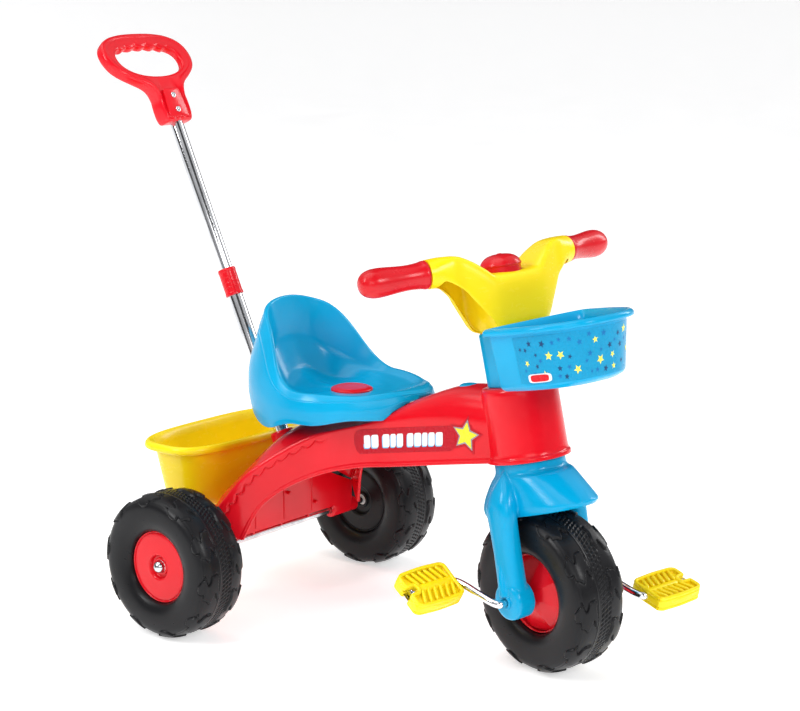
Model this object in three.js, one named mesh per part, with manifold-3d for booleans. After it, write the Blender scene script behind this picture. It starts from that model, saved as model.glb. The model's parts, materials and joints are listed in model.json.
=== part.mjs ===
// Child's tricycle with a front basket, a rear bucket and a removable parent push bar.
// Millimetres. +Z is up, the tricycle faces -Y and +X is the rider's left.
// The origin is on the floor, at the middle of the whole tricycle's box.
import * as THREE from 'three';
import { mergeVertices } from 'three/addons/utils/BufferGeometryUtils.js';
import Module from 'manifold-3d';

const wasm = await Module();
wasm.setup();

// Driving dimensions
const GAP = 0.3;                    // clearance between neighbouring pieces
const WALL = 3.5;                   // moulded wall thickness
const REAR_R = 100;                 // rear wheel radius
const FRONT_R = 105.6;              // front wheel radius
const TYRE_W = 82;                  // width of every tyre
const TRACK = 421.8;                // between the rear wheels' mid-planes
const WHEELBASE = 473.2;
const RAKE = THREE.MathUtils.degToRad(11.3);         // steering axis leans back
const STEER = THREE.MathUtils.degToRad(-13.19);      // steering as it stands, to the right
const ROD_R = 5;                    // rear axle and crank rod
const RUN = 0.3;                    // radial clearance round a turning rod
const HEAD_LOW = 173;               // head tube, measured up the steering axis from the front axle
const HEAD_HIGH = 270;
const HEAD_R = 51;
const POST_R = 9.5;                 // steel steering post
const BAR_LOW = 340;                // underside of the handlebar boss
const GRIP_UP = 430;                // grip height up the steering axis
const CRANK_R = 74;
const CRANK_TILT = THREE.MathUtils.degToRad(13);      // right crank points back and this far up
const PEDAL_X = 141;                // pedal middle, sideways from the wheel's mid-plane
const PEDAL_THICK = 21;
const PEDAL_PITCH = { right: THREE.MathUtils.degToRad(33), left: THREE.MathUtils.degToRad(13) };
const BUCKET_Y = 92;                // middle of the bucket, behind the rear axle
const BUCKET_FLOOR = 138;
const SHELF_TOP = BUCKET_FLOOR - GAP;
const SHELF_HALF = 60;
const BAR_TILT = Math.atan(0.463);  // push bar leans back from upright
const LOW_TUBE_R = 10.8;
const TOP_TUBE_R = 9.6;

// Finishes
function finish(color, roughness, metalness = 0) {
  return new THREE.MeshStandardMaterial({ color, roughness, metalness });
}
const redPlastic = () => finish('#e01f2b', 0.28);
const bluePlastic = () => finish('#00a2e8', 0.28);
const yellowPlastic = () => finish('#ffdd10', 0.3);
const blackTyre = () => finish('#26262a', 0.5);
const darkPlastic = () => finish('#3a3b40', 0.55);
const whitePlastic = () => finish('#e8e8e4', 0.45);
const chromed = () => finish('#d8dade', 0.12, 1);

// Solids
function faceOut(geometry) {
  const p = geometry.attributes.position.array;
  const index = geometry.index.array;
  const [a, b, c] = [new THREE.Vector3(), new THREE.Vector3(), new THREE.Vector3()];
  let volume = 0;
  for (let i = 0; i < index.length; i += 3) {
    a.fromArray(p, index[i] * 3);
    b.fromArray(p, index[i + 1] * 3);
    c.fromArray(p, index[i + 2] * 3);
    volume += a.dot(b.cross(c));
  }
  if (volume < 0) {
    for (let i = 0; i < index.length; i += 3) {
      [index[i], index[i + 1]] = [index[i + 1], index[i]];
    }
  }
  return geometry;
}

function solid(geometry) {
  const bare = geometry.clone();
  for (const name of Object.keys(bare.attributes)) {
    if (name !== 'position') bare.deleteAttribute(name);
  }
  const merged = mergeVertices(bare, 1e-3);
  const index = merged.index.array;
  const kept = [];
  for (let i = 0; i < index.length; i += 3) {
    const [a, b, c] = [index[i], index[i + 1], index[i + 2]];
    if (a !== b && b !== c && c !== a) kept.push(a, b, c);
  }
  merged.setIndex(kept);
  faceOut(merged);
  return new wasm.Manifold(new wasm.Mesh({
    numProp: 3,
    vertProperties: new Float32Array(merged.attributes.position.array),
    triVerts: new Uint32Array(merged.index.array),
  }));
}

function joined(...pieces) {
  return pieces.reduce((sum, piece) => sum.add(piece));
}

function mesh(name, shape, material) {
  const made = shape.getMesh();
  const geometry = new THREE.BufferGeometry();
  geometry.setAttribute('position', new THREE.BufferAttribute(made.vertProperties, 3));
  geometry.setIndex(new THREE.BufferAttribute(made.triVerts, 1));
  geometry.computeVertexNormals();
  const result = new THREE.Mesh(geometry, material);
  result.name = name;
  return result;
}

// Shapes
const V = (x, y, z) => new THREE.Vector3(x, y, z);

function moved(geometry, x, y, z, rx = 0, ry = 0, rz = 0) {
  const turn = new THREE.Quaternion().setFromEuler(new THREE.Euler(rx, ry, rz, 'XYZ'));
  return geometry.applyMatrix4(new THREE.Matrix4().compose(V(x, y, z), turn, V(1, 1, 1)));
}

// A turned shape: the profile is [radius, height] pairs and the axis is +Z.
function turned(profile, sides = 20) {
  const points = profile.map(([r, h]) => new THREE.Vector2(r, h));
  const geometry = new THREE.LatheGeometry(points, sides);
  return moved(geometry, 0, 0, 0, Math.PI / 2);
}

function rod(radius, low, high, sides = 16) {
  return turned([[0, low], [radius, low], [radius, high], [0, high]], sides);
}

function ring(inner, outer, low, high, sides = 16) {
  return turned([[inner, low], [outer, low], [outer, high], [inner, high], [inner, low]], sides);
}

// The same turned shape laid along +X, its profile heights measured along X.
function acrossX(geometry, flip = false) {
  return moved(geometry, 0, 0, 0, 0, flip ? -Math.PI / 2 : Math.PI / 2);
}

function planSlab(halfX, y0, y1, z0, z1) {
  const geometry = new THREE.BoxGeometry(2 * halfX, y1 - y0, z1 - z0);
  return moved(geometry, 0, (y0 + y1) / 2, (z0 + z1) / 2);
}

// A skin through closed rings of equal point count, closed with a fan at each end.
function skin(rings) {
  const count = rings[0].length;
  const points = rings.flat();
  const index = [];
  for (let r = 0; r + 1 < rings.length; r += 1) {
    for (let i = 0; i < count; i += 1) {
      const j = (i + 1) % count;
      const [a, b, c, d] = [r * count + i, r * count + j, (r + 1) * count + i, (r + 1) * count + j];
      index.push(a, b, d, a, d, c);
    }
  }
  for (const [first, order] of [[0, 1], [(rings.length - 1) * count, -1]]) {
    const middle = points.length;
    const centre = V(0, 0, 0);
    for (let i = 0; i < count; i += 1) centre.add(points[first + i]);
    points.push(centre.divideScalar(count));
    for (let i = 0; i < count; i += 1) {
      const pair = [first + i, first + (i + 1) % count];
      if (order > 0) index.push(middle, pair[1], pair[0]);
      else index.push(middle, pair[0], pair[1]);
    }
  }
  const geometry = new THREE.BufferGeometry().setFromPoints(points);
  geometry.setIndex(index);
  return geometry;
}

// A ring in plan: half-width, half-length, a squareness power, a centre and a height function.
function planRing(halfX, halfY, power, centreY, height, sides = 28) {
  const ringPoints = [];
  for (let i = 0; i < sides; i += 1) {
    const angle = (2 * Math.PI * i) / sides;
    const [s, c] = [Math.sin(angle), Math.cos(angle)];
    const x = halfX * Math.sign(s) * Math.abs(s) ** (2 / power);
    const y = centreY + halfY * Math.sign(c) * Math.abs(c) ** (2 / power);
    ringPoints.push(V(x, y, height(x, y)));
  }
  return ringPoints;
}

const level = (z) => () => z;

function smooth(t) {
  const u = THREE.MathUtils.clamp(t, 0, 1);
  return u * u * (3 - 2 * u);
}

// Steering frame: origin at the front axle, z up the steering axis, x to the rider's left.
const TREAD_HALF = 24;
const LEAN = Math.asin(Math.sin(-STEER) * Math.sin(RAKE));
const FRONT_Z = FRONT_R * Math.cos(LEAN) + TREAD_HALF * Math.sin(LEAN);
const headFrame = new THREE.Matrix4()
  .makeTranslation(0, -WHEELBASE, FRONT_Z)
  .multiply(new THREE.Matrix4().makeRotationX(-RAKE));

const root = new THREE.Group();
const straight = new THREE.Group();
straight.position.set(0, -WHEELBASE, FRONT_Z);
straight.rotation.x = -RAKE;
const steering = new THREE.Group();
steering.rotation.z = STEER;
straight.add(steering);
root.add(straight);

// Wheels
const BORE_R = 50;

function tyreProfile(radius, bore) {
  const half = TYRE_W / 2;
  const outside = [[bore, 26], [bore, 34], [bore + 8, half - 1], [radius - 18, half],
    [radius - 6, half - 6], [radius, TREAD_HALF]];
  const inside = [[radius - WALL, TREAD_HALF - 3], [radius - 16, half - WALL], [bore + WALL, 30]];
  const mirror = (list) => list.map(([r, a]) => [r, -a]).reverse();
  return [...outside, ...mirror(outside), ...mirror(inside), ...inside, outside[0]];
}

function tyre(name, radius, bore) {
  return mesh(name, solid(acrossX(turned(tyreProfile(radius, bore), 28))), blackTyre());
}

const HUB_SIDES = 20;
const HUB_GAP = 0.8;                // hubs stand this far inside their tyre's bore
const HUB_FACE = 30;                // rear hub face, out from the wheel's mid-plane

function rearHubShell(outward) {
  const profile = [[8.3, 0.4], [11.8, 0.4], [11.8, HUB_FACE - 9.5], [23, HUB_FACE - 9.5],
    [25, HUB_FACE - WALL], [BORE_R - WALL, HUB_FACE - WALL], [BORE_R - WALL, 0.4], [BORE_R - HUB_GAP, 0.4],
    [BORE_R - HUB_GAP, HUB_FACE], [24, HUB_FACE], [21, HUB_FACE - 6], [8.3, HUB_FACE - 6], [8.3, 0.4]];
  return solid(acrossX(turned(profile, HUB_SIDES), outward < 0));
}

function rearWheel(side) {
  const word = side < 0 ? 'right' : 'left';
  const wheel = new THREE.Group();
  wheel.position.set((side * TRACK) / 2, 0, REAR_R);
  wheel.add(tyre(`rear_tyre_${word}`, REAR_R, BORE_R));
  wheel.add(mesh(`rear_hub_outer_${word}`, rearHubShell(side), redPlastic()));
  wheel.add(mesh(`rear_hub_inner_${word}`, rearHubShell(-side), darkPlastic()));
  const bush = solid(acrossX(ring(ROD_R + RUN, 8, -24, 24)));
  wheel.add(mesh(`rear_wheel_bush_${word}`, bush, whitePlastic()));
  return wheel;
}

function frontHub(word, side) {
  const rim = FRONT_BORE - HUB_GAP;
  const flip = side < 0;
  const cup = solid(acrossX(ring(rim - WALL, rim, 0.4, 27, HUB_SIDES), flip));
  const face = [[0, 32], [22, 32], [rim + 6, 23.5 - WALL], [rim + 6, 25], [24, 36], [0, 36], [0, 32]];
  const trim = solid(acrossX(rod(rim, 0, 60, HUB_SIDES), flip));
  const cone = solid(acrossX(turned(face, 8), flip)).intersect(trim);
  const tube = solid(acrossX(rod(11, 0.4, 34), flip));
  const bore = solid(acrossX(rod(ROD_R + RUN, -1, 60), flip));
  return mesh(`front_hub_${word}`, joined(cup, cone, tube).subtract(bore), redPlastic());
}

// The crank rod: straight through the hub, then out along each crank to the pedal spindle.
const FRONT_BORE = 53;
const SPINDLE_END = PEDAL_X + 33;

function crankPoints() {
  const half = [[85, 0], [89, 6], [93, 34], [95, 58], [99, CRANK_R - 3], [105, CRANK_R], [114, CRANK_R]];
  const right = half.map(([x, r]) => V(-x, r, 0));
  const left = half.map(([x, r]) => V(x, -r, 0));
  return [V(-SPINDLE_END, CRANK_R, 0), ...right.reverse(), V(-80, 0, 0), V(0, 0, 0), V(80, 0, 0),
    ...left, V(SPINDLE_END, -CRANK_R, 0)];
}

function crankRod() {
  const circle = new THREE.Shape();
  circle.absarc(0, 0, ROD_R, 0, 2 * Math.PI);
  const path = new THREE.CatmullRomCurve3(crankPoints(), false, 'centripetal');
  const geometry = new THREE.ExtrudeGeometry(circle,
    { steps: 40, curveSegments: 4, bevelEnabled: false, extrudePath: path });
  return mesh('crank_rod', solid(geometry), chromed());
}

function pedalShape() {
  const [halfX, halfY, notch] = [38.5, 28, 15.5];
  const outline = new THREE.Shape();
  outline.moveTo(-halfX, -halfY + 6);
  outline.quadraticCurveTo(-halfX, -halfY, -halfX + 6, -halfY);
  outline.quadraticCurveTo(0, -halfY - 6, halfX - 6, -halfY);
  outline.quadraticCurveTo(halfX, -halfY, halfX, -halfY + 6);
  outline.lineTo(halfX, -8);
  outline.quadraticCurveTo(halfX - notch, -8, halfX - notch, 0);
  outline.quadraticCurveTo(halfX - notch, 8, halfX, 8);
  outline.lineTo(halfX, halfY - 6);
  outline.quadraticCurveTo(halfX, halfY, halfX - 6, halfY);
  outline.quadraticCurveTo(0, halfY + 6, -halfX + 6, halfY);
  outline.quadraticCurveTo(-halfX, halfY, -halfX, halfY - 6);
  const slab = new THREE.ExtrudeGeometry(outline,
    { depth: PEDAL_THICK, curveSegments: 3, bevelEnabled: false });
  const bore = solid(acrossX(rod(ROD_R + RUN, -60, 60))).add(solid(acrossX(rod(8.5, -40, -29))));
  return solid(moved(slab, 0, 0, 3 - PEDAL_THICK / 2)).subtract(bore);
}

function pedal(word, side) {
  const shape = side > 0 ? pedalShape() : pedalShape().mirror([1, 0, 0]);
  const made = mesh(`pedal_${word}`, shape, yellowPlastic());
  made.position.set(side * PEDAL_X, -side * CRANK_R, 0);
  made.rotation.x = PEDAL_PITCH[word] - CRANK_TILT;
  return made;
}

function pedalCap(word, side) {
  const cap = solid(acrossX(ring(ROD_R + GAP, 6.7, 0, 3), side < 0));
  const made = mesh(`pedal_cap_${word}`, cap, chromed());
  made.position.set(side * (PEDAL_X + 29), -side * CRANK_R, 0);
  return made;
}

function frontWheel() {
  const wheel = new THREE.Group();
  wheel.add(tyre('front_tyre', FRONT_R, FRONT_BORE));
  wheel.add(frontHub('left', 1));
  wheel.add(frontHub('right', -1));
  const cranks = new THREE.Group();
  cranks.rotation.x = CRANK_TILT + RAKE;
  cranks.add(crankRod());
  cranks.add(pedalCap('right', -1));
  cranks.add(pedalCap('left', 1));
  cranks.add(pedal('right', -1));
  cranks.add(pedal('left', 1));
  wheel.add(cranks);
  return wheel;
}

// Fork with its leg bosses and the hood over the wheel
const LEG_IN = 45;                  // the fork's legs and bosses lie between these
const LEG_OUT = 74;
const BOSS_R = 25;

function forkLeg(side) {
  const rings = [[-2, LEG_IN, LEG_OUT, 22.5], [60, LEG_IN, 73, 19.6], [112, LEG_IN, 73.6, 22],
    [126, 38, 71.5, 21.5], [139, 34, 66, 18], [150, 30, 58.5, 12.5], [160, 26, 50, 5]]
    .map(([z, inner, outer, halfY]) => planRing((outer - inner) / 2, halfY, 2.6, 0, level(z), 14)
      .map((p) => p.add(V((side * (outer + inner)) / 2, 0, 0))));
  const boss = solid(acrossX(rod(BOSS_R, LEG_IN, LEG_OUT, 20), side < 0));
  return solid(skin(rings)).add(boss);
}

function hood() {
  const rings = [
    planRing(46, 92, 2.2, -7, (x, y) => 104 - 0.1 * y, 28),
    planRing(50, 98, 2.2, -10.5, (x, y) => 116 - 0.09 * y, 28),
    planRing(48, 76, 2.2, -7, (x, y) => 138 - 0.06 * y, 28),
    planRing(46, 53, 2.1, -5, (x, y) => 156 - 0.02 * y, 28),
    planRing(44.5, 45, 2, 0, level(161), 28),
    planRing(44.5, 44.5, 2, 0, level(HEAD_LOW - GAP), 28),
  ];
  return solid(skin(rings));
}

function fork() {
  const room = solid(acrossX(rod(FRONT_R + 6, -44.5, 44.5, 32)));
  const bores = solid(acrossX(rod(8.3, -100, 100)));
  const stem = solid(rod(14, HEAD_LOW - 20, HEAD_LOW - GAP));
  const socket = solid(rod(POST_R + GAP, HEAD_LOW - 30, HEAD_LOW + 10));
  const shape = joined(hood(), stem, forkLeg(-1), forkLeg(1)).subtract(room).subtract(bores);
  return mesh('fork', shape.subtract(socket), bluePlastic());
}

function forkBush(side) {
  const word = side < 0 ? 'right' : 'left';
  const shape = solid(acrossX(ring(ROD_R + RUN, 8, LEG_IN, LEG_OUT), side < 0));
  return mesh(`fork_bush_${word}`, shape, whitePlastic());
}

// Handlebar: a gull-wing moulding round a boss, with a spigot for each grip
const GRIP_IN = 116;
const SWEEP_FROM = 90;              // the handlebar's arms bend back from here
const GRIP_SWEEP = 0.245;           // the grips run back this much for each millimetre outwards

function handlebarRing(x, middle, halfZ, halfY) {
  const beyond = Math.max(0, Math.abs(x) - SWEEP_FROM);
  const back = beyond * GRIP_SWEEP;
  const skew = (Math.sign(x) * beyond * GRIP_SWEEP) / (GRIP_IN - SWEEP_FROM);
  const points = [];
  for (let i = 0; i < 16; i += 1) {
    const angle = (2 * Math.PI * i) / 16;
    const [s, c] = [Math.sin(angle), Math.cos(angle)];
    const y = halfY * Math.sign(c) * Math.abs(c) ** 0.6;
    const z = halfZ * Math.sign(s) * Math.abs(s) ** 0.6;
    points.push(V(x - skew * y, back + y, middle + z));
  }
  return points;
}

function handlebarWing() {
  const half = [[GRIP_IN, GRIP_UP - 2, 19, 18], [98, GRIP_UP - 3, 20, 19], [80, 419.5, 25.5, 21],
    [70, 410, 31, 24], [58, 397.5, 36.5, 28], [46, 385, 40, 32], [36, 379, 38.5, 34.5], [0, 378, 37.5, 36]];
  const right = half.map(([x, middle, halfZ, halfY]) => handlebarRing(-x, middle, halfZ, halfY));
  const left = half.slice(0, -1).reverse()
    .map(([x, middle, halfZ, halfY]) => handlebarRing(x, middle, halfZ, halfY));
  return solid(skin([...right, ...left]));
}

function sweptAlongGrip(geometry, side) {
  const turn = side * (Math.PI / 2);
  const swept = moved(geometry, 0, 0, 0, 0, turn);
  const yaw = side * Math.atan(GRIP_SWEEP);
  return moved(swept, side * GRIP_IN, (GRIP_IN - SWEEP_FROM) * GRIP_SWEEP, GRIP_UP - 2, 0, 0, yaw);
}

const HORN_FLOOR = 394;

function handlebar() {
  const spigots = [-1, 1].map((side) => solid(sweptAlongGrip(rod(10, -12, 74), side)));
  const pocket = solid(rod(26.5, HORN_FLOOR, 440, 24));
  const socket = solid(rod(POST_R + GAP, BAR_LOW - 5, HORN_FLOOR - 12));
  const screw = solid(rod(4, HORN_FLOOR - 20, HORN_FLOOR + 5));
  const shape = joined(handlebarWing(), ...spigots);
  return mesh('handlebar', shape.subtract(pocket).subtract(socket).subtract(screw), yellowPlastic());
}

function grip(side) {
  const word = side < 0 ? 'right' : 'left';
  const profile = [[10.5, 0.4], [18, 0.4], [16.2, 12], [15.8, 26], [17, 44], [18.7, 62], [18.4, 76],
    [14.5, 86], [8, 90.5], [0, 92], [0, 76], [10.5, 76], [10.5, 0.4]];
  return mesh(`grip_${word}`, solid(sweptAlongGrip(turned(profile), side)), redPlastic());
}

function hornButton() {
  const dome = [[0, 440], [10, 438.5], [18, 434], [23, 426], [25.5, 414], [25.5, 403],
    [22.5, 403], [22.5, 412], [17, 426], [0, 431], [0, 438]];
  return mesh('horn_button', solid(turned(dome, 24)), redPlastic());
}

function hornSqueaker() {
  const bellows = [[4.3, 2.5], [14, 2.5], [14, 6], [12, 9], [14, 12], [12, 15], [4.3, 15], [4.3, 2.5]]
    .map(([radius, up]) => [radius, HORN_FLOOR + up]);
  return mesh('horn_squeaker', solid(turned(bellows, 20)), darkPlastic());
}

function postScrew() {
  const screw = joined(solid(rod(3.6, HORN_FLOOR - 11, HORN_FLOOR + 1)),
    solid(rod(7, HORN_FLOOR + 0.3, HORN_FLOOR + 2.2)));
  return mesh('handlebar_screw', screw, chromed());
}

function steeringPost() {
  return mesh('steering_post', solid(rod(POST_R, HEAD_LOW - 29, HORN_FLOOR - 13)), chromed());
}

function headBush(name, low, high) {
  const shape = solid(ring(POST_R + RUN, 15.6, low, high));
  return mesh(name, shape, whitePlastic());
}

// Front basket: a D-shaped tub on a collar that the steering post passes through
const BASKET_FLOOR = 270;
const BASKET_TOP = 351;
const BASKET_CORNER = 14;           // how far the tub's back corners are rounded

function basketRing(halfX, length, back, height, sides = 28) {
  const points = [];
  for (let i = 0; i < sides; i += 1) {
    const angle = (2 * Math.PI * i) / sides;
    const [s, c] = [Math.sin(angle), Math.cos(angle)];
    const x = halfX * Math.sign(s) * Math.abs(s) ** 0.8;
    const reach = c > 0 ? length * c ** 0.85 : -BASKET_CORNER * Math.abs(c) ** 0.4;
    points.push(V(x, -(back + BASKET_CORNER + reach), height));
  }
  return points;
}

function basket() {
  const low = BASKET_FLOOR;
  const top = BASKET_TOP;
  const outer = solid(skin([basketRing(66, 96, 45, low), basketRing(74, 108, 45, low + 6),
    basketRing(80, 122, 45, top - 9), basketRing(90, 132, 44, top - 9),
    basketRing(90, 132, 44, top - 4), basketRing(86, 128, 45, top)]));
  const hollow = solid(skin([basketRing(62, 90, 51, low + 4), basketRing(70, 102, 51, low + 10),
    basketRing(77, 117, 51, top - 4), basketRing(79, 119, 50, top + 2)]));
  const collar = solid(skin([planRing(37, 38, 3, -9, level(HEAD_HIGH + GAP), 20),
    planRing(39, 39, 3, -9, level(BAR_LOW - GAP), 20)]));
  const post = solid(rod(POST_R + GAP, low - 20, top + 10));
  return mesh('basket', joined(outer.subtract(hollow), collar).subtract(post), bluePlastic());
}

// Main body: a beam from the head tube that widens into a saddle between the rear wheels
const bodyLines = {
  top: [[0, -395, 362], [0, -340, 359], [0, -270, 333], [0, -205, 302], [0, -150, 290],
    [0, -97, 283], [0, -46, 258], [0, 2, 216]],
  crown: [[20, -396, 361], [22, -340, 357], [25, -270, 331], [30, -200, 299], [38, -145, 286],
    [46, -92, 277], [53, -44, 246], [59, 2, 201]],
  shoulder: [[36, -400, 350], [38, -342, 348], [42, -268, 324], [50, -196, 291], [62, -140, 277],
    [79, -88, 267], [96, -43, 223], [113, 4, 171]],
  crease: [[43, -408, 325], [45, -345, 323], [48, -264, 310], [57, -192, 291], [74, -142, 274],
    [98, -104, 250], [128, -62, 216], [155, -8, 143]],
  edge: [[42, -412, 274], [45, -335, 260], [47, -252, 244], [51, -192, 233], [64, -134, 216],
    [88, -88, 191], [108, -64, 165], [125, -46, 119]],
};

const BODY_STEPS = 15;

function bodyLine(name) {
  return new THREE.CatmullRomCurve3(bodyLines[name].map(([x, y, z]) => V(x, y, z)));
}

// Half a section, from the left lower edge up to the top, moved inwards by the wall thickness
function insetHalf(half, lines, t, inset) {
  return half.map((point, k) => {
    const before = half[Math.max(k - 1, 0)];
    const across = k + 1 < half.length ? half[k + 1].clone().sub(before) : V(-1, 0, 0);
    const outwards = lines[k].getTangent(t).cross(across).normalize();
    return point.clone().addScaledVector(outwards, -inset);
  });
}

// Each section runs from the right lower edge over the top to the left one. The inset and reach are
// zero for the outer skin; for the inner one they set how far it lies inside and runs out below.
function bodySections(inset, reach, first) {
  const lines = ['edge', 'crease', 'shoulder', 'crown', 'top'].map(bodyLine);
  const sections = [];
  for (let i = first; i <= BODY_STEPS; i += 1) {
    const t = i / BODY_STEPS;
    const half = insetHalf(lines.map((line) => line.getPoint(t)), lines, t, inset);
    half[0].addScaledVector(half[0].clone().sub(half[1]), reach);
    half[4].x = 0;
    const right = half.map((p) => V(-p.x, p.y, p.z));
    sections.push([...right, ...half.slice(0, -1).reverse()]);
  }
  return sections;
}

function bodyHollow() {
  const sections = bodySections(WALL, 0.7, 2);
  const before = sections[sections.length - 2];
  const last = sections.pop().map((p, i) => p.lerp(before[i], 0.15));
  return solid(skin([...sections, last]));
}

// Rear wall across the saddle, with a tube on each side that carries the axle
function rearWall() {
  const outline = new THREE.Shape();
  outline.moveTo(0, 109);
  outline.lineTo(110, 109);
  outline.lineTo(114, 98);
  outline.lineTo(150, 98);
  outline.lineTo(152, 140);
  outline.lineTo(138, 146);
  outline.lineTo(112, 158);
  outline.lineTo(58, 186);
  outline.quadraticCurveTo(30, 200, 0, 202);
  const plate = new THREE.ExtrudeGeometry(outline, { depth: 6, curveSegments: 5, bevelEnabled: false });
  const half = solid(moved(plate, 0, -5, 0, Math.PI / 2));
  const tube = solid(moved(acrossX(rod(10.5, 112, 166)), 0, 0, REAR_R));
  return joined(half, half.mirror([1, 0, 0]), tube, tube.mirror([1, 0, 0]));
}

// Shelf behind the body that the bucket stands on
function bucketShelf() {
  const outline = new THREE.Shape();
  outline.moveTo(-6, SHELF_TOP - 34);
  outline.lineTo(BUCKET_Y + 30, SHELF_TOP - 6);
  outline.lineTo(BUCKET_Y + 30, SHELF_TOP);
  outline.lineTo(-6, SHELF_TOP);
  const web = new THREE.ExtrudeGeometry(outline, { depth: 2 * SHELF_HALF, bevelEnabled: false });
  const rib = solid(web.applyMatrix4(new THREE.Matrix4().makeBasis(V(0, 1, 0), V(0, 0, 1), V(1, 0, 0))));
  const under = solid(planSlab(SHELF_HALF - WALL, -2, BUCKET_Y + 20, 80, SHELF_TOP - 5));
  return rib.translate([-SHELF_HALF, 0, 0]).subtract(under);
}

function headTube() {
  const profile = [[0, HEAD_LOW], [HEAD_R + 3.5, HEAD_LOW], [HEAD_R + 3.5, HEAD_LOW + 6],
    [HEAD_R + 1.5, HEAD_LOW + 7], [HEAD_R - 1, HEAD_HIGH - 5], [HEAD_R - 6, HEAD_HIGH], [0, HEAD_HIGH]];
  return solid(turned(profile, 28).applyMatrix4(headFrame));
}

function inHeadFrame(geometry) {
  return solid(geometry.applyMatrix4(headFrame));
}

const BAR_FOOT_Z = 192;

// Push bar frame: z runs up the bar, y = 0 on its axis; the origin is where the bar enters the body.
const BAR_FOOT = V(0, -1.3 - 0.463 * (257.8 - BAR_FOOT_Z), BAR_FOOT_Z);
const barFrame = new THREE.Matrix4()
  .makeTranslation(BAR_FOOT.x, BAR_FOOT.y, BAR_FOOT.z)
  .multiply(new THREE.Matrix4().makeRotationX(-BAR_TILT));

// Round plug in the top of the beam, just behind the head tube
const [CAP_R, CAP_Y, CAP_Z, CAP_SLOPE] = [13.5, -342, 356, -0.06];

function frameBody() {
  const outer = solid(skin(bodySections(0, 0, 0)));
  const neck = inHeadFrame(rod(17, HEAD_LOW + 14, HEAD_HIGH - 12));
  const bores = joined(inHeadFrame(rod(15.9, HEAD_LOW - 5, HEAD_LOW + 16)),
    inHeadFrame(rod(15.9, HEAD_HIGH - 16, HEAD_HIGH + 5)), neck);
  const sleeve = solid(rod(17, -2, 58).applyMatrix4(barFrame));
  const sleeveBore = solid(rod(14.3, 4, 140).applyMatrix4(barFrame));
  const axle = solid(moved(acrossX(rod(ROD_R + GAP, -200, 200)), 0, 0, REAR_R));
  const cap = solid(moved(rod(CAP_R + GAP, -4, 30), 0, CAP_Y, CAP_Z, CAP_SLOPE));
  const saddle = joined(outer.subtract(bodyHollow()), rearWall(), headTube(), sleeve, bucketShelf());
  return mesh('frame_body', saddle.subtract(bores).subtract(sleeveBore).subtract(axle).subtract(cap),
    redPlastic());
}

function bodyCap() {
  const profile = [[0, -3.6], [CAP_R, -3.6], [CAP_R, 1.5], [CAP_R - 2, 3], [0, 4]];
  const shape = solid(moved(turned(profile), 0, CAP_Y, CAP_Z, CAP_SLOPE));
  return mesh('body_cap', shape, bluePlastic());
}

function rearAxle() {
  const shape = solid(moved(acrossX(rod(ROD_R, -244, 244)), 0, 0, REAR_R));
  return mesh('rear_axle', shape, chromed());
}

function axleNut(side) {
  const word = side < 0 ? 'right' : 'left';
  const profile = [[ROD_R + GAP, 0], [9, 0], [9, 2], [8, 7], [5, 10], [0, 11.5], [0, 9.6],
    [ROD_R + GAP, 9.6], [ROD_R + GAP, 0]];
  const start = TRACK / 2 + 24.5;
  const shape = solid(moved(acrossX(turned(profile, 20), side < 0), side * start, 0, REAR_R));
  return mesh(`axle_nut_${word}`, shape, chromed());
}

// Seat: a moulded tub with a raised back, hollow underneath
const SEAT_Y = -120;
const SEAT_NOSE = 22;               // the nose reaches this much further than the back
const SEAT_RIM = 336;               // rim height along the sides
const SEAT_BACK = 442;              // rim height at the back
const SEAT_SIDES = 30;
const BACK_ROUND = 38;              // how far the back's rim falls away towards its sides
const BACK_LEAN = 18;               // how far the back's top stands forward of its foot
const BACK_TAPER = 0.08;            // how much the raised back narrows towards its top
const BACK_SQUARE = 0.3;            // how far the plan's back corners fill out
const [KNOB_R, KNOB_Y, KNOB_Z] = [29, -140, 326];
const seatRise = (y) => smooth((y + 132) / 118);

function seatRing(halfX, halfY, height) {
  const points = [];
  for (let i = 0; i < SEAT_SIDES; i += 1) {
    const angle = (2 * Math.PI * i) / SEAT_SIDES;
    const [s, c] = [Math.sin(angle), Math.cos(angle)];
    const nose = smooth(-c);
    const y = SEAT_Y + (halfY + (c < 0 ? SEAT_NOSE : 0)) * c;
    const z = height(y);
    const raised = smooth((z - SEAT_RIM) / (SEAT_BACK - SEAT_RIM));
    const narrow = 1 - 0.14 * nose - BACK_TAPER * raised;
    const power = 1 + 0.25 * nose - BACK_SQUARE * smooth(c);
    const x = halfX * narrow * Math.sign(s) * Math.abs(s) ** power;
    points.push(V(x, y - BACK_LEAN * raised, z - BACK_ROUND * seatRise(y) * (x / halfX) ** 2));
  }
  return points;
}

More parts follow.
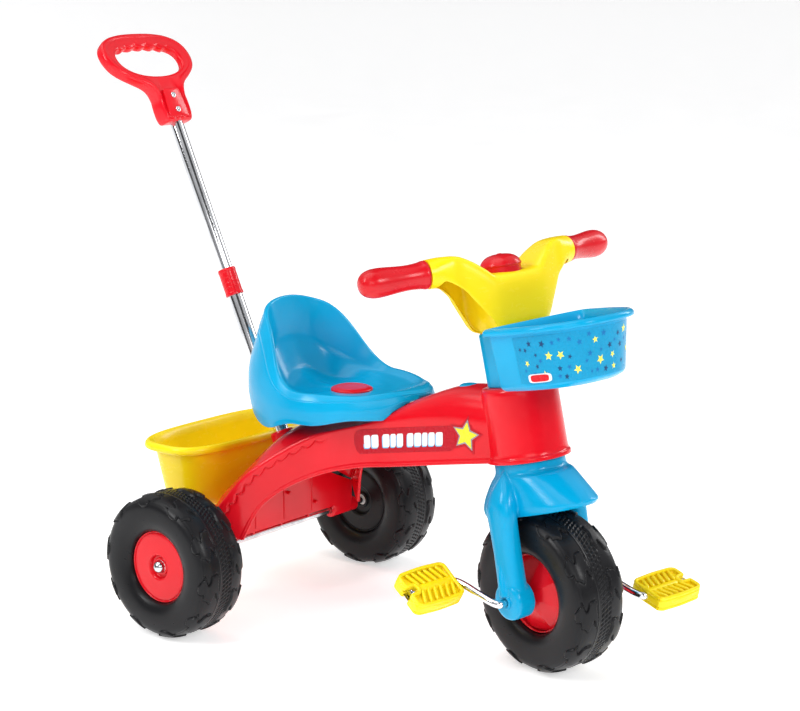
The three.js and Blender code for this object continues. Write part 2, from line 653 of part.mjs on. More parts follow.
function seat() {
  const rim = (y) => SEAT_RIM + (SEAT_BACK - SEAT_RIM) * seatRise(y) + 6 * smooth((-205 - y) / 50);
  const noseLift = (y) => 10 * smooth((-150 - y) / 60) + 18 * smooth((-236 - y) / 26);
  const floor = (y) => 293 + 27 * smooth((y + 90) / 100) + noseLift(y);
  const lift = (a, b, t) => (y) => a(y) + (b(y) - a(y)) * t;
  const bowl = (y) => 324 + 19 * smooth((-190 - y) / 70) + 4 * seatRise(y);
  const rings = [
    seatRing(30, 45, bowl),
    seatRing(60, 74, lift(bowl, rim, 0.1)),
    seatRing(88, 106, lift(bowl, rim, 0.5)),
    seatRing(99, 117, rim),
    seatRing(104.5, 122.5, rim),
    seatRing(109.5, 128.5, lift(floor, rim, 0.8)),
    seatRing(112, 132, lift(floor, rim, 0.42)),
    seatRing(110, 128, lift(floor, rim, 0.12)),
    seatRing(107, 125, floor),
    seatRing(104, 122, floor),
    seatRing(107, 125, lift(floor, rim, 0.4)),
    seatRing(105, 123.5, lift(floor, rim, 0.74)),
    seatRing(99.5, 117.5, (y) => rim(y) - 6),
    seatRing(89.5, 108.5, (y) => lift(bowl, rim, 0.46)(y) - 4),
    seatRing(60, 76, (y) => lift(bowl, rim, 0.08)(y) - 4),
    seatRing(30, 45, (y) => bowl(y) - 4),
  ];
  const knobHole = solid(moved(rod(KNOB_R + GAP, -20, 20, 24), 0, KNOB_Y, KNOB_Z));
  const beamRoom = solid(skin(bodySections(-2 * GAP, 0, 0)));
  return mesh('seat', solid(skin(rings)).subtract(knobHole).subtract(beamRoom), bluePlastic());
}

function seatKnob() {
  const profile = [[0, -5], [KNOB_R, -5], [KNOB_R, 0.5], [KNOB_R - 3, 1.6], [0, 2]];
  const shape = solid(moved(turned(profile, 24), 0, KNOB_Y, KNOB_Z));
  return mesh('seat_knob', shape, redPlastic());
}

// Rear bucket

function bucket() {
  const outer = solid(skin([planRing(104, 42, 3, BUCKET_Y, level(BUCKET_FLOOR)),
    planRing(113, 47, 3, BUCKET_Y, level(BUCKET_FLOOR + 8)),
    planRing(130, 57, 3.2, BUCKET_Y, level(224)), planRing(144, 67, 3.2, BUCKET_Y, level(224)),
    planRing(144, 67, 3.2, BUCKET_Y, level(232)), planRing(140, 63, 3.2, BUCKET_Y, level(236))]));
  const hollow = solid(skin([planRing(101, 39, 3, BUCKET_Y, level(BUCKET_FLOOR + WALL)),
    planRing(110, 44, 3, BUCKET_Y, level(BUCKET_FLOOR + 11)),
    planRing(127, 54, 3.2, BUCKET_Y, level(230)), planRing(129, 56, 3.2, BUCKET_Y, level(240))]));
  return mesh('bucket', outer.subtract(hollow), yellowPlastic());
}

// Push bar
const JOINT_UP = 304;               // top of the collar, measured up the bar
const COLLAR_LONG = 40;
const BAR_TOP = 576;
const SCREWS_UP = [546, 568];

function inBarFrame(geometry) {
  return solid(geometry.applyMatrix4(barFrame));
}

function screwHoles() {
  const profile = [[0, -20], [2.3, -20], [2.3, 13.3], [4.8, 13.3], [4.8, 30], [0, 30]];
  return joined(...SCREWS_UP.map((up) => inBarFrame(moved(turned(profile, 12), 0, 0, up, Math.PI / 2))));
}

function pushBarPieces() {
  const lower = inBarFrame(ring(TOP_TUBE_R + GAP, LOW_TUBE_R, 6.3, JOINT_UP - 22));
  const upper = inBarFrame(ring(TOP_TUBE_R - 1.4, TOP_TUBE_R, JOINT_UP - 80, BAR_TOP))
    .subtract(screwHoles());
  const foot = JOINT_UP - COLLAR_LONG;
  const collarProfile = [[LOW_TUBE_R + GAP, foot], [13.2, foot], [13.2, JOINT_UP - 1],
    [12.4, JOINT_UP], [TOP_TUBE_R + GAP, JOINT_UP], [TOP_TUBE_R + GAP, JOINT_UP - 21.5],
    [LOW_TUBE_R + GAP, JOINT_UP - 21.5], [LOW_TUBE_R + GAP, foot]];
  return [
    mesh('push_bar_lower', lower, chromed()),
    mesh('push_bar_upper', upper, chromed()),
    mesh('bar_collar', inBarFrame(turned(collarProfile, 24)), redPlastic()),
  ];
}

// Push handle: a neck on the bar and a D-shaped grip bent back from it, moulded in two halves.
const NECK_LOW = 529;
const NECK_HIGH = 580;
const GRIP_SLOPE = THREE.MathUtils.degToRad(47);     // the grip's plane, up from level
const GRIP_HALF_THICK = 11;
const GRIP_HALF = 83;               // half width of the grip's outline
const GAP_HALF = 60;                // half width of the gap for the fingers

const neckTop = V(0, 0, NECK_HIGH).applyMatrix4(barFrame);
const gripFrame = new THREE.Matrix4()
  .makeTranslation(0, neckTop.y, neckTop.z)
  .multiply(new THREE.Matrix4().makeRotationX(GRIP_SLOPE));

function gripOutline() {
  const outline = new THREE.Shape();
  outline.moveTo(-26, -14);
  outline.bezierCurveTo(-34, 8, -GRIP_HALF, 10, -GRIP_HALF, 50);
  outline.bezierCurveTo(-GRIP_HALF, 94, -48, 102, 0, 102);
  outline.bezierCurveTo(48, 102, GRIP_HALF, 94, GRIP_HALF, 50);
  outline.bezierCurveTo(GRIP_HALF, 10, 34, 8, 26, -14);
  const gap = new THREE.Path();
  gap.moveTo(-GAP_HALF, 54);
  gap.bezierCurveTo(-GAP_HALF, 30, -30, 21, 0, 21);
  gap.bezierCurveTo(30, 21, GAP_HALF, 30, GAP_HALF, 54);
  gap.bezierCurveTo(GAP_HALF, 75, 38, 79, 0, 79);
  gap.bezierCurveTo(-38, 79, -GAP_HALF, 75, -GAP_HALF, 54);
  outline.holes.push(gap);
  return outline;
}

function wholeHandle() {
  const depth = 2 * GRIP_HALF_THICK;
  const slab = new THREE.ExtrudeGeometry(gripOutline(), { depth, curveSegments: 5, bevelEnabled: false });
  const grip = solid(moved(slab, 0, 0, -GRIP_HALF_THICK).applyMatrix4(gripFrame));
  const neck = inBarFrame(skin([planRing(23, 12.5, 3, 0, level(NECK_LOW), 24),
    planRing(26, 13.5, 3, 0, level(NECK_LOW + 8), 24), planRing(25, 13, 3, 0, level(NECK_HIGH - 14), 24),
    planRing(27, 12, 3, 0, level(NECK_HIGH + 4), 24)]));
  const tube = inBarFrame(rod(TOP_TUBE_R + GAP, NECK_LOW - 10, BAR_TOP + GAP));
  return joined(grip, neck).subtract(tube).subtract(screwHoles());
}

// Everything in front of the split between the two halves, moved back by the given distance
function aheadOfSplit(back) {
  const along = (frame, y, z) => V(0, y, z).applyMatrix4(frame);
  const corners = [along(barFrame, back, 480), along(barFrame, back, NECK_HIGH),
    along(gripFrame, 160, -back), along(gripFrame, 160, 80), along(barFrame, -90, 480)];
  const side = new THREE.Shape(corners.map((p) => new THREE.Vector2(p.y, p.z)));
  const prism = new THREE.ExtrudeGeometry(side, { depth: 200, bevelEnabled: false });
  const toWorld = new THREE.Matrix4().makeBasis(V(0, 1, 0), V(0, 0, 1), V(1, 0, 0));
  return solid(moved(prism, 0, 0, -100).applyMatrix4(toWorld));
}

function handleHalves() {
  const whole = wholeHandle();
  return [
    mesh('push_handle_front', whole.intersect(aheadOfSplit(-GAP / 2)), redPlastic()),
    mesh('push_handle_rear', whole.subtract(aheadOfSplit(GAP / 2)), redPlastic()),
  ];
}

function handleScrew(name, up) {
  const profile = [[0, -11], [1.9, -11], [1.9, 13.6], [4.2, 13.6], [4.2, 14.6], [2, 16.2], [0, 16.4]];
  return mesh(name, inBarFrame(moved(turned(profile, 12), 0, 0, up, Math.PI / 2)), chromed());
}

root.add(frameBody(), bodyCap(), rearAxle(), axleNut(-1), axleNut(1), seat(), seatKnob(), bucket());
root.add(...pushBarPieces(), ...handleHalves());
root.add(handleScrew('handle_screw_lower', SCREWS_UP[0]), handleScrew('handle_screw_upper', SCREWS_UP[1]));
root.add(rearWheel(-1), rearWheel(1));
straight.add(headBush('head_bush_lower', HEAD_LOW + GAP, HEAD_LOW + 14));
straight.add(headBush('head_bush_upper', HEAD_HIGH - 14, HEAD_HIGH - GAP));
steering.add(frontWheel(), fork(), forkBush(-1), forkBush(1), steeringPost());
steering.add(handlebar(), grip(-1), grip(1), hornButton(), hornSqueaker(), postScrew(), basket());
const placed = new THREE.Group();
placed.add(root);
placed.updateMatrixWorld(true);
const reach = new THREE.Box3().setFromObject(placed, true);
placed.position.set(0, -(reach.min.y + reach.max.y) / 2, -reach.min.z);

export default placed;
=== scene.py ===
import json
import math
import random

import bmesh
import bpy
import numpy as np
from mathutils import Matrix, Vector
from mathutils.bvhtree import BVHTree


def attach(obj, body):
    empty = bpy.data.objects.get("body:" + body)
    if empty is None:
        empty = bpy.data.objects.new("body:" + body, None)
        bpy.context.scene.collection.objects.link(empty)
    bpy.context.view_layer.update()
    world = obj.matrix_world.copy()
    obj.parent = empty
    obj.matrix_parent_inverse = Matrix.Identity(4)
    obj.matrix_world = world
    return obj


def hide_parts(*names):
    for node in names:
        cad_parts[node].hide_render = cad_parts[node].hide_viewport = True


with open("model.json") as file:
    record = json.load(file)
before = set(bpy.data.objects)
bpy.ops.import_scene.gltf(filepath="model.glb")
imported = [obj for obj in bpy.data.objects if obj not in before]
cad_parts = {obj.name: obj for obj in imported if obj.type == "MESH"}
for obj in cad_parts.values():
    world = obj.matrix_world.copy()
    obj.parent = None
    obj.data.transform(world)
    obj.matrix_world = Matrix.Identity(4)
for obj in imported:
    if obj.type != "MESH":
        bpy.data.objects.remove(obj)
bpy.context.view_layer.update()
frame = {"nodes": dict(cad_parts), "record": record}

MM = 0.001
SIDES = ((-1, "right"), (1, "left"))
MIRROR = np.array([-1, 1, 1])
joints = {j["name"]: j for j in frame["record"]["behaviour"]["joints"]}


def axes(origin, x, z):
    """Matrix of a frame with the given origin (metres), x and z directions."""
    x = Vector(x).normalized()
    z = Vector(z).normalized()
    m = Matrix((x, z.cross(x), z)).transposed().to_4x4()
    m.translation = Vector(origin)
    return m


wheel_centre = Vector(joints["steering_turn"]["pos_m"])
steer_up = Vector(joints["steering_turn"]["axis"])
wheel_across = Vector(joints["front_wheel_spin"]["axis"])
rear_centre = Vector(joints["rear_wheel_left_spin"]["pos_m"])
bar_up = Vector(joints["push_bar_pull"]["axis"])

# the body's frame stands on the floor under the rear axle, the others follow their joints
HOME = Matrix.Translation((0, rear_centre.y, 0))
STEER = axes(wheel_centre, wheel_across, steer_up)
HEAD = axes(wheel_centre, (1, 0, 0), steer_up)
BAR_FOOT = Vector((0, -0.031765, 0.192))
BAR = axes(HOME @ BAR_FOOT, (1, 0, 0), bar_up)


# ---------------------------------------------------------------- materials
COLOUR_SPAN = (0.35, 0.65)  # part of a noise that a drift between two colours runs over
ROUGH_SPAN = (0.3, 0.7)  # part of a noise that a roughness runs over


class Look:
    """A material being built: a Principled shader and the nodes that feed it."""

    def __init__(self, name):
        self.material = bpy.data.materials.new(name)
        self.material.use_nodes = True
        self.nodes = self.material.node_tree.nodes
        self.nodes.clear()
        self.link = self.material.node_tree.links.new
        out = self.nodes.new("ShaderNodeOutputMaterial")
        self.shader = self.nodes.new("ShaderNodeBsdfPrincipled")
        self.link(self.shader.outputs[0], out.inputs[0])

    def node(self, kind, values):
        made = self.nodes.new(kind)
        for socket, value in values.items():
            made.inputs[socket].default_value = value
        return made

    def set(self, values):
        for socket, value in values.items():
            self.shader.inputs[socket].default_value = value

    def noise(self, scale, detail, stretch=(1, 1, 1), rough=0.5):
        coord = self.nodes.new("ShaderNodeTexCoord")
        mapping = self.node("ShaderNodeMapping", {"Scale": stretch})
        tex = self.node("ShaderNodeTexNoise", {"Scale": scale, "Detail": detail, "Roughness": rough})
        self.link(coord.outputs["Object"], mapping.inputs["Vector"])
        self.link(mapping.outputs["Vector"], tex.inputs["Vector"])
        return tex.outputs["Fac"]

    def colour(self, value, low, high, socket="Base Color"):
        """Turns a noise into a drift between two colours."""
        ramp = self.nodes.new("ShaderNodeValToRGB")
        for stop, position, shade in zip(ramp.color_ramp.elements, COLOUR_SPAN, (low, high)):
            stop.position = position
            stop.color = (*shade, 1)
        self.link(value, ramp.inputs["Fac"])
        self.link(ramp.outputs["Color"], self.shader.inputs[socket])

    def roughness(self, value, low, high):
        """Turns a noise into a roughness between low and high."""
        span = {"From Min": ROUGH_SPAN[0], "From Max": ROUGH_SPAN[1], "To Min": low, "To Max": high}
        node = self.node("ShaderNodeMapRange", span)
        self.link(value, node.inputs["Value"])
        self.link(node.outputs["Result"], self.shader.inputs["Roughness"])

    def bumps(self, *layers):
        """layers: (height socket, strength, distance in metres)"""
        previous = None
        for height, strength, distance in layers:
            node = self.node("ShaderNodeBump", {"Strength": strength, "Distance": distance})
            self.link(height, node.inputs["Height"])
            if previous is not None:
                self.link(previous, node.inputs["Normal"])
            previous = node.outputs["Normal"]
        self.link(previous, self.shader.inputs["Normal"])


def plastic(name, low, high, rough=(0.2, 0.3), grain=900, grain_depth=0.00002, wave_depth=0.00025,
            gloss=0.32, subsurface=0.0):
    """Moulded plastic: slow colour drift, a slightly wavy surface, fine grain and handling marks."""
    look = Look(name)
    look.colour(look.noise(9, 3), low, high)
    look.roughness(look.noise(60, 6, (1, 1, 2.5), 0.65), *rough)
    look.bumps((look.noise(26, 1.5), 0.35, wave_depth), (look.noise(grain, 2), 0.25, grain_depth))
    look.set({"Specular IOR Level": gloss, "IOR": 1.5})
    if subsurface:
        look.set({"Subsurface Weight": subsurface, "Subsurface Radius": (0.004, 0.002, 0.001)})
    return look.material


def chrome(name):
    """Plated tube: drawn lines along it, faint haze and small pits."""
    look = Look(name)
    look.colour(look.noise(40, 5, (1, 1, 0.3)), (0.62, 0.63, 0.65), (0.86, 0.87, 0.89))
    lines = look.noise(300, 3, (8, 8, 0.15))
    look.roughness(lines, 0.07, 0.2)
    look.bumps((lines, 0.12, 0.00003), (look.noise(1400, 2), 0.1, 0.00001))
    look.set({"Metallic": 1.0})
    return look.material


def film(name, low, high):
    """Printed film: slightly uneven ink over a glossy base."""
    look = Look(name)
    look.colour(look.noise(420, 4), low, high)
    look.roughness(look.noise(50, 4), 0.22, 0.34)
    look.bumps((look.noise(1500, 2), 0.2, 0.00001))
    look.set({"Specular IOR Level": 0.22})
    return look.material


RED = plastic("red_plastic", (0.70, 0.004, 0.012), (0.79, 0.006, 0.017), (0.15, 0.25))
RED_DEEP = plastic("red_grip_plastic", (0.60, 0.006, 0.012), (0.69, 0.008, 0.018), (0.18, 0.3))
BLUE = plastic("blue_plastic", (0.0, 0.33, 0.60), (0.0, 0.375, 0.67), (0.16, 0.26), gloss=0.26)
YELLOW = plastic("yellow_plastic", (0.98, 0.71, 0.004), (1.0, 0.78, 0.010), (0.2, 0.3), subsurface=0.06)
TYRE = plastic("tyre_black", (0.006, 0.006, 0.007), (0.011, 0.011, 0.0125), (0.26, 0.38), 1200, 0.00004,
               0.0003, gloss=0.2)
DARK = plastic("dark_plastic", (0.035, 0.035, 0.04), (0.06, 0.06, 0.065), (0.4, 0.55))
WHITE = plastic("white_plastic", (0.72, 0.72, 0.70), (0.82, 0.82, 0.80), (0.35, 0.5))
CHROME = chrome("chrome")


# ---------------------------------------------------------------- curves and outlines
def circle(n):
    """n angles evenly round a full turn."""
    return np.linspace(0, 2 * math.pi, n, endpoint=False)


def signed_power(value, power):
    return np.sign(value) * np.abs(value) ** power


def smooth(t):
    t = np.clip(t, 0, 1)
    return t * t * (3 - 2 * t)


def run_along(points):
    """Distance from the first point to each point of a polyline."""
    return np.r_[0, np.cumsum(np.linalg.norm(np.diff(points, axis=0), axis=1))]


def soften(points, radii, steps=4):
    """Rounds the corners of an open polyline in any number of dimensions."""
    pts = [np.array(p, float) for p in points]
    if np.isscalar(radii):
        radii = [radii] * len(pts)
    out = [pts[0]]
    for before, here, after, r in zip(pts, pts[1:], pts[2:], radii[1:]):
        if r <= 0:
            out.append(here)
            continue
        la, lb = np.linalg.norm(before - here), np.linalg.norm(after - here)
        a = here + (before - here) * min(r / max(la, 1e-9), 0.48)
        b = here + (after - here) * min(r / max(lb, 1e-9), 0.48)
        for k in range(steps + 1):
            t = k / steps
            out.append(a * (1 - t) ** 2 + here * 2 * t * (1 - t) + b * t * t)
    out.append(pts[-1])
    return out


def catmull(points, samples):
    """Centripetal Catmull-Rom through the points, sampled evenly in knot number."""
    p = [np.array(q, float) for q in points]
    p = [2 * p[0] - p[1]] + p + [2 * p[-1] - p[-2]]
    out = []
    last = len(points) - 1
    for s in samples:
        f = min(max(s * last, 0), last - 1e-9)
        k = int(f)
        u = f - k
        p0, p1, p2, p3 = p[k:k + 4]
        d = [max(np.linalg.norm(b - a) ** 0.5, 1e-6) for a, b in ((p0, p1), (p1, p2), (p2, p3))]
        t1 = (p1 - p0) / d[0] - (p2 - p0) / (d[0] + d[1]) + (p2 - p1) / d[1]
        t2 = (p2 - p1) / d[1] - (p3 - p1) / (d[1] + d[2]) + (p3 - p2) / d[2]
        t1, t2 = t1 * d[1], t2 * d[1]
        out.append(p1 * (2 * u ** 3 - 3 * u ** 2 + 1) + t1 * (u ** 3 - 2 * u ** 2 + u)
                   + p2 * (-2 * u ** 3 + 3 * u ** 2) + t2 * (u ** 3 - u ** 2))
    return np.array(out)


def bezier(points, n=18):
    """Chain of cubic segments: start, then (control, control, end) triples."""
    out = []
    start = np.array(points[0], float)
    for k in range(1, len(points), 3):
        b, c, d = (np.array(p, float) for p in points[k:k + 3])
        for t in np.linspace(0, 1, n, endpoint=False):
            out.append(start * (1 - t) ** 3 + 3 * b * t * (1 - t) ** 2
                       + 3 * c * t * t * (1 - t) + d * t ** 3)
        start = d
    out.append(start)
    return np.array(out)


def closed_by_mirror(half):
    """A half outline from x = 0 round to x = 0, and its mirror image back to the start."""
    return half + [(-x, y) for x, y in half[-2::-1]]


def even(points, n):
    """n points spaced evenly along a polyline, without its last point."""
    run = run_along(points)
    s = np.linspace(0, run[-1], n, endpoint=False)
    return np.stack([np.interp(s, run, points[:, k]) for k in range(points.shape[1])], 1)


def plan_ring(half_x, half_y, power, centre_y, z, n=96):
    """Rounded rectangle or oval at one height; a higher power gives squarer corners."""
    a = circle(n)
    x = half_x * signed_power(np.sin(a), 2 / power)
    y = centre_y + half_y * signed_power(np.cos(a), 2 / power)
    return np.stack([x, y, np.full(n, float(z))], 1)


# ---------------------------------------------------------------- mesh tools
# A part is a pair of vertices in millimetres and faces.
def grid_faces(rows, cols, wrap_cols=True, wrap_rows=False):
    faces = []
    for r in range(rows if wrap_rows else rows - 1):
        for c in range(cols if wrap_cols else cols - 1):
            r2, c2 = (r + 1) % rows, (c + 1) % cols
            faces.append((r * cols + c, r * cols + c2, r2 * cols + c2, r2 * cols + c))
    return faces


def loft(rings, capped=True):
    """Skin over rings of equal length, its ends closed by a fan each if capped."""
    n = len(rings[0])
    verts = np.concatenate([np.array(r, float) for r in rings])
    faces = grid_faces(len(rings), n)
    if capped:
        ends = (0, len(verts) - n)
        for k, start in enumerate(ends):
            faces += [(start + i, start + (i + 1) % n, len(verts) + k) for i in range(n)]
        verts = np.vstack([verts, *(verts[start:start + n].mean(0) for start in ends)])
    return verts, faces


def lathe(profile, n=64, radii=0.8):
    """profile: [radius, height]; turned round z."""
    angle = circle(n)
    rings = []
    for r, h in soften(profile, radii, 3):
        r = max(r, 1e-4)
        rings.append(np.stack([r * np.cos(angle), r * np.sin(angle), np.full(n, h)], 1))
    return loft(rings, capped=False)


def sweep(path, radius, n=20):
    """Round rod along a list of points; the radius may vary along it."""
    path = np.array(path, float)
    tangent = np.gradient(path, axis=0)
    tangent /= np.linalg.norm(tangent, axis=1)[:, None]
    side = np.cross(tangent[0], [0.31, 0.17, 0.93])
    a = circle(n)[:, None]
    rings = []
    for p, t, r in zip(path, tangent, np.broadcast_to(radius, len(path))):
        side = side - t * side.dot(t)
        side /= np.linalg.norm(side)
        rings.append(p + r * (np.cos(a) * side + np.sin(a) * np.cross(t, side)))
    return loft(rings)


def outline_slab(outline, thick, radius):
    """Closed outline in x, z (its last point repeats the first) as a slab along y, edges rounded."""
    pts = np.array(outline, float)[:-1]
    tangent = np.roll(pts, -1, 0) - np.roll(pts, 1, 0)
    tangent /= np.linalg.norm(tangent, axis=1)[:, None]
    normal = np.stack([tangent[:, 1], -tangent[:, 0]], 1)
    if ((pts - pts.mean(0)) * normal).sum() < 0:
        normal = -normal
    steps = [(-radius, 0)] + [(-radius * (1 - math.sin(a)), radius * (1 - math.cos(a)))
                              for a in np.linspace(0, math.pi / 2, 4)]
    rings = []
    for off, depth in steps + [(o, thick - d) for o, d in reversed(steps)]:
        q = pts + normal * off
        rings.append(np.stack([q[:, 0], np.full(len(q), depth), q[:, 1]], 1))
    verts, faces = loft(rings, capped=False)
    last = len(verts) - len(pts)
    return verts, faces + [tuple(range(len(pts))), tuple(range(last, len(verts)))]


def merged(*parts):
    verts, faces, base = [], [], 0
    for v, f in parts:
        verts.append(np.array(v, float))
        faces += [tuple(i + base for i in face) for face in f]
        base += len(v)
    return np.vstack(verts), faces


def placed(part, m):
    """Moves a part by a matrix whose translation is in millimetres."""
    v, f = part
    m = np.array(m)
    return np.asarray(v) @ m[:3, :3].T + m[:3, 3], f


def turn(axis, degrees, shift=(0, 0, 0)):
    return Matrix.Translation(shift) @ Matrix.Rotation(math.radians(degrees), 4, axis)


def across(part, side=1):
    """Lays a shape turned round z along x, towards the given side."""
    return placed(part, turn("Y", 90 * side))


def laid(slab, height):
    """Lays a slab flat, its outline in x and y and its first face at the height."""
    return placed(slab, Matrix(((1, 0, 0, 0), (0, 0, 1, 0), (0, 1, 0, height), (0, 0, 0, 1))))


def piece(name, part, at, material, body, nodes=(), angle=35):
    """Makes an object of a part, placed by a frame, on a body and in place of CAD nodes."""
    verts, faces = part
    mesh = bpy.data.meshes.new(name)
    mesh.from_pydata((np.asarray(verts) * MM).tolist(), [], faces)
    mesh.transform(at)
    work = bmesh.new()
    work.from_mesh(mesh)
    bmesh.ops.remove_doubles(work, verts=work.verts, dist=2e-6)
    bmesh.ops.recalc_face_normals(work, faces=work.faces)
    work.to_mesh(mesh)
    work.free()
    mesh.shade_smooth()
    if angle:
        mesh.set_sharp_from_angle(angle=math.radians(angle))
    obj = bpy.data.objects.new(name, mesh)
    bpy.context.scene.collection.objects.link(obj)
    mesh.materials.append(material)
    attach(obj, body)
    if nodes:
        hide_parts(*nodes)
    return obj


def evaluated_mesh(obj):
    return bpy.data.meshes.new_from_object(obj.evaluated_get(bpy.context.evaluated_depsgraph_get()))


def carved(obj, cutter):
    """Takes the cutter's shape out of a piece and removes the cutter."""
    mod = obj.modifiers.new("cut", "BOOLEAN")
    mod.operation = "DIFFERENCE"
    mod.solver = "EXACT"
    mod.object = cutter
    done = evaluated_mesh(obj)
    obj.modifiers.clear()
    obj.data = done
    bpy.data.objects.remove(cutter)


# ---------------------------------------------------------------- wheels
TYRE_HALF = 41  # half a tyre's width
REAR_RADIUS, REAR_BORE = 100, 50
FRONT_RADIUS, FRONT_BORE = 105.6, 53
TREAD_DEPTH = 2.4  # from the tyre's base to the face of the lugs
LUGS = 10
TYRE_STEPS = 600
NUT_OUT = 0.0245  # metres from the rear wheel's middle out to the nut


def tyre_profile(radius, bore):
    """Across the tyre: distance from the tread's middle, radius, offset along the axle, and the normal."""
    base = radius - TREAD_DEPTH
    half = np.array(soften(
        [(bore, 0), (bore, 31), (bore + 2.5, 35.5), (bore + 12, 39.8), (radius - 27, TYRE_HALF),
         (radius - 14, 40), (base - 5.5, 36.2), (base - 1.2, 28), (base, 16), (base + 0.2, 0)],
        [0, 2, 3, 8, 12, 10, 6, 9, 12, 0], 6))
    run = run_along(half)
    total = run[-1]
    # even samples along the half profile, finer on the tread
    s = np.r_[np.linspace(total, total - 52, 62), np.linspace(total - 55, 0, 22)]
    r, a = (np.interp(s, run, half[:, k]) for k in (0, 1))
    dr, da = np.gradient(r, s), np.gradient(a, s)
    length = np.hypot(dr, da)
    nr, na = -da / length, dr / length
    # the outward normal points away from the middle of the tyre's wall
    flip = np.where(nr * (r - 70) + na * (a - 10) < 0, -1.0, 1.0)
    halves = ((total - s, -1), (r, 1), (a, -1), (nr * flip, 1), (na * flip, -1))
    return [np.r_[values[::-1], sign * values[1:]] for values, sign in halves]


def tread_height(th, uu, radius, phase):
    """Height of the pattern over the tyre's base, by angle and distance across."""
    au = np.abs(uu)
    period = 2 * math.pi * radius / LUGS
    side_shift = np.where(uu < 0, 0.5, 0.0)
    c = ((th * LUGS / (2 * math.pi) + side_shift + phase) % 1.0 - 0.5) * period
    # wavy lugs, with a round end on the side wall
    wavy = 6.5 * np.sin((au - 14) / 20 * 2 * math.pi) * smooth((44 - au) / 12)
    end = np.clip((au - 36) / 9.0, 0, 1)
    width = np.where(au > 36, 10.5 * np.sqrt(1 - end ** 2), 15 + 3.0 * np.cos((au - 14) / 11 * 2 * math.pi))
    inner = 13.5 + 1.5 * np.sin(c / 5.0)
    d = np.where(au > 45, -9.0, np.minimum(width - np.abs(c - wavy), au - inner))
    lug = smooth((d + 0.6) / 1.5)
    h = 2.3 * lug - 0.9 * np.exp(-((d + 0.9) / 0.9) ** 2) * (au < 45)
    # double ridge round the shoulder
    for centre in (33.5, 37.5):
        h += 0.35 * np.exp(-((au - centre) / 0.8) ** 2) * (1 - lug)
    # tread notches and moulding seam
    notch = 0.5 + 0.5 * np.sign(np.sin(th * 100 + uu * 0.5))
    for centre, half_width in ((-8.5, 2.2), (-2.5, 2.0), (3.5, 2.0)):
        h -= 1.3 * notch * smooth((half_width + 0.5 - np.abs(uu - centre)) / 0.8)
    h += 0.7 * np.exp(-((uu - 10.0) / 0.55) ** 2)
    return np.clip(h, -2.0, 2.35)


def tyre(name, radius, bore, at, body, node, phase):
    u, r, a, nr, na = tyre_profile(radius, bore)
    th, uu = np.meshgrid(circle(TYRE_STEPS), u, indexing="ij")
    h = tread_height(th, uu, radius, phase)
    rr = r + nr * h
    aa = np.clip(a + na * h, -TYRE_HALF, TYRE_HALF)
    verts = np.stack([aa, rr * np.sin(th), rr * np.cos(th)], 2).reshape(-1, 3)
    piece(name, (verts, grid_faces(TYRE_STEPS, len(u), wrap_rows=True)), at, TYRE, body, [node], angle=50)


def rear_hub(outward, recess, at, body, name, node, material):
    """Dished disc with a boss; recess is the radius where the flat middle ends."""
    profile = [(8.4, 23.6), (recess - 3, 23.6), (recess - 1.2, 24.6), (recess, 29.2), (recess + 2.0, 30.4),
               (recess + 5, 30), (44, 29.3), (46.6, 28.6), (47.2, 27.4), (48.2, 27.4), (49.2, 28.6),
               (49.2, 1)]
    disc = lathe(profile, 96, [0, 1, 1, 1, 1, 2, 3, 0.6, 0.3, 0.3, 0.6, 0])
    boss = lathe([(8.4, 23), (12.2, 23), (12.2, 25.6), (10.8, 26.2), (8.4, 26.2)], 48, 0.5)
    piece(name, across(merged(disc, boss), outward), at, material, body, [node])


def front_hub(side, name, node):
    """Shallow eight-sided pyramid with a lip and a round nose."""
    n, nose_radius, slope = 128, 13.5, 0.47
    ang = circle(n)
    local = np.cos(ang - np.round(ang / (math.pi / 4)) * (math.pi / 4))
    rings = []
    for r in np.linspace(nose_radius, 50.0, 26):
        h = 37.0 - slope * (r * local - nose_radius)
        rings.append(np.stack([r * np.cos(ang), r * np.sin(ang), h], 1))
    low = rings[-1].copy()
    low[:, 2] = 18.0
    dish = loft([*rings, low], capped=False)
    lip = lathe([(49.9, 24.5), (50.6, 26), (52.1, 26), (52.1, 1)], n, [0, 0.6, 0.6, 0])
    nose = lathe([(0.01, 38.2), (8, 38.2), (11, 37.6), (13.6, 36.6)], n, 1)
    piece(name, across(merged(dish, lip, nose), side), STEER, RED, "front_wheel", [node], angle=7)


def wheels():
    x, y, z = abs(rear_centre.x), rear_centre.y, rear_centre.z
    for side, word in SIDES:
        at = Matrix.Translation((side * x, y, z))
        body = f"rear_wheel_{word}"
        face = Matrix.Diagonal((side, 1, 1, 1))
        tyre(f"tyre_rear_{word}", REAR_RADIUS, REAR_BORE, at @ face, body, f"rear_tyre_{word}", 0.21)
        rear_hub(side, 16.5, at, body, f"hub_disc_{word}", f"rear_hub_outer_{word}", RED)
        rear_hub(-side, 22, at, body, f"hub_back_{word}", f"rear_hub_inner_{word}", TYRE)
        dome = lathe([(5.4, 0), (9.6, 0), (9.6, 1.6), (9.0, 2.2), (8.6, 5.5), (6.6, 8.6), (3.6, 10.8),
                      (0.01, 11.6)], 48, [0, 0.4, 0.4, 0.5, 2, 2, 2, 0])
        nut_at = Matrix.Translation((side * (x + NUT_OUT), y, z))
        piece(f"cap_nut_{word}", across(dome, side), nut_at, CHROME, "body", [f"axle_nut_{word}"])
    tyre("tyre_front", FRONT_RADIUS, FRONT_BORE, STEER @ Matrix.Diagonal((-1, 1, 1, 1)), "front_wheel",
         "front_tyre", 0.36)
    front_hub(1, "dish_left", "front_hub_left")
    front_hub(-1, "dish_right", "front_hub_right")


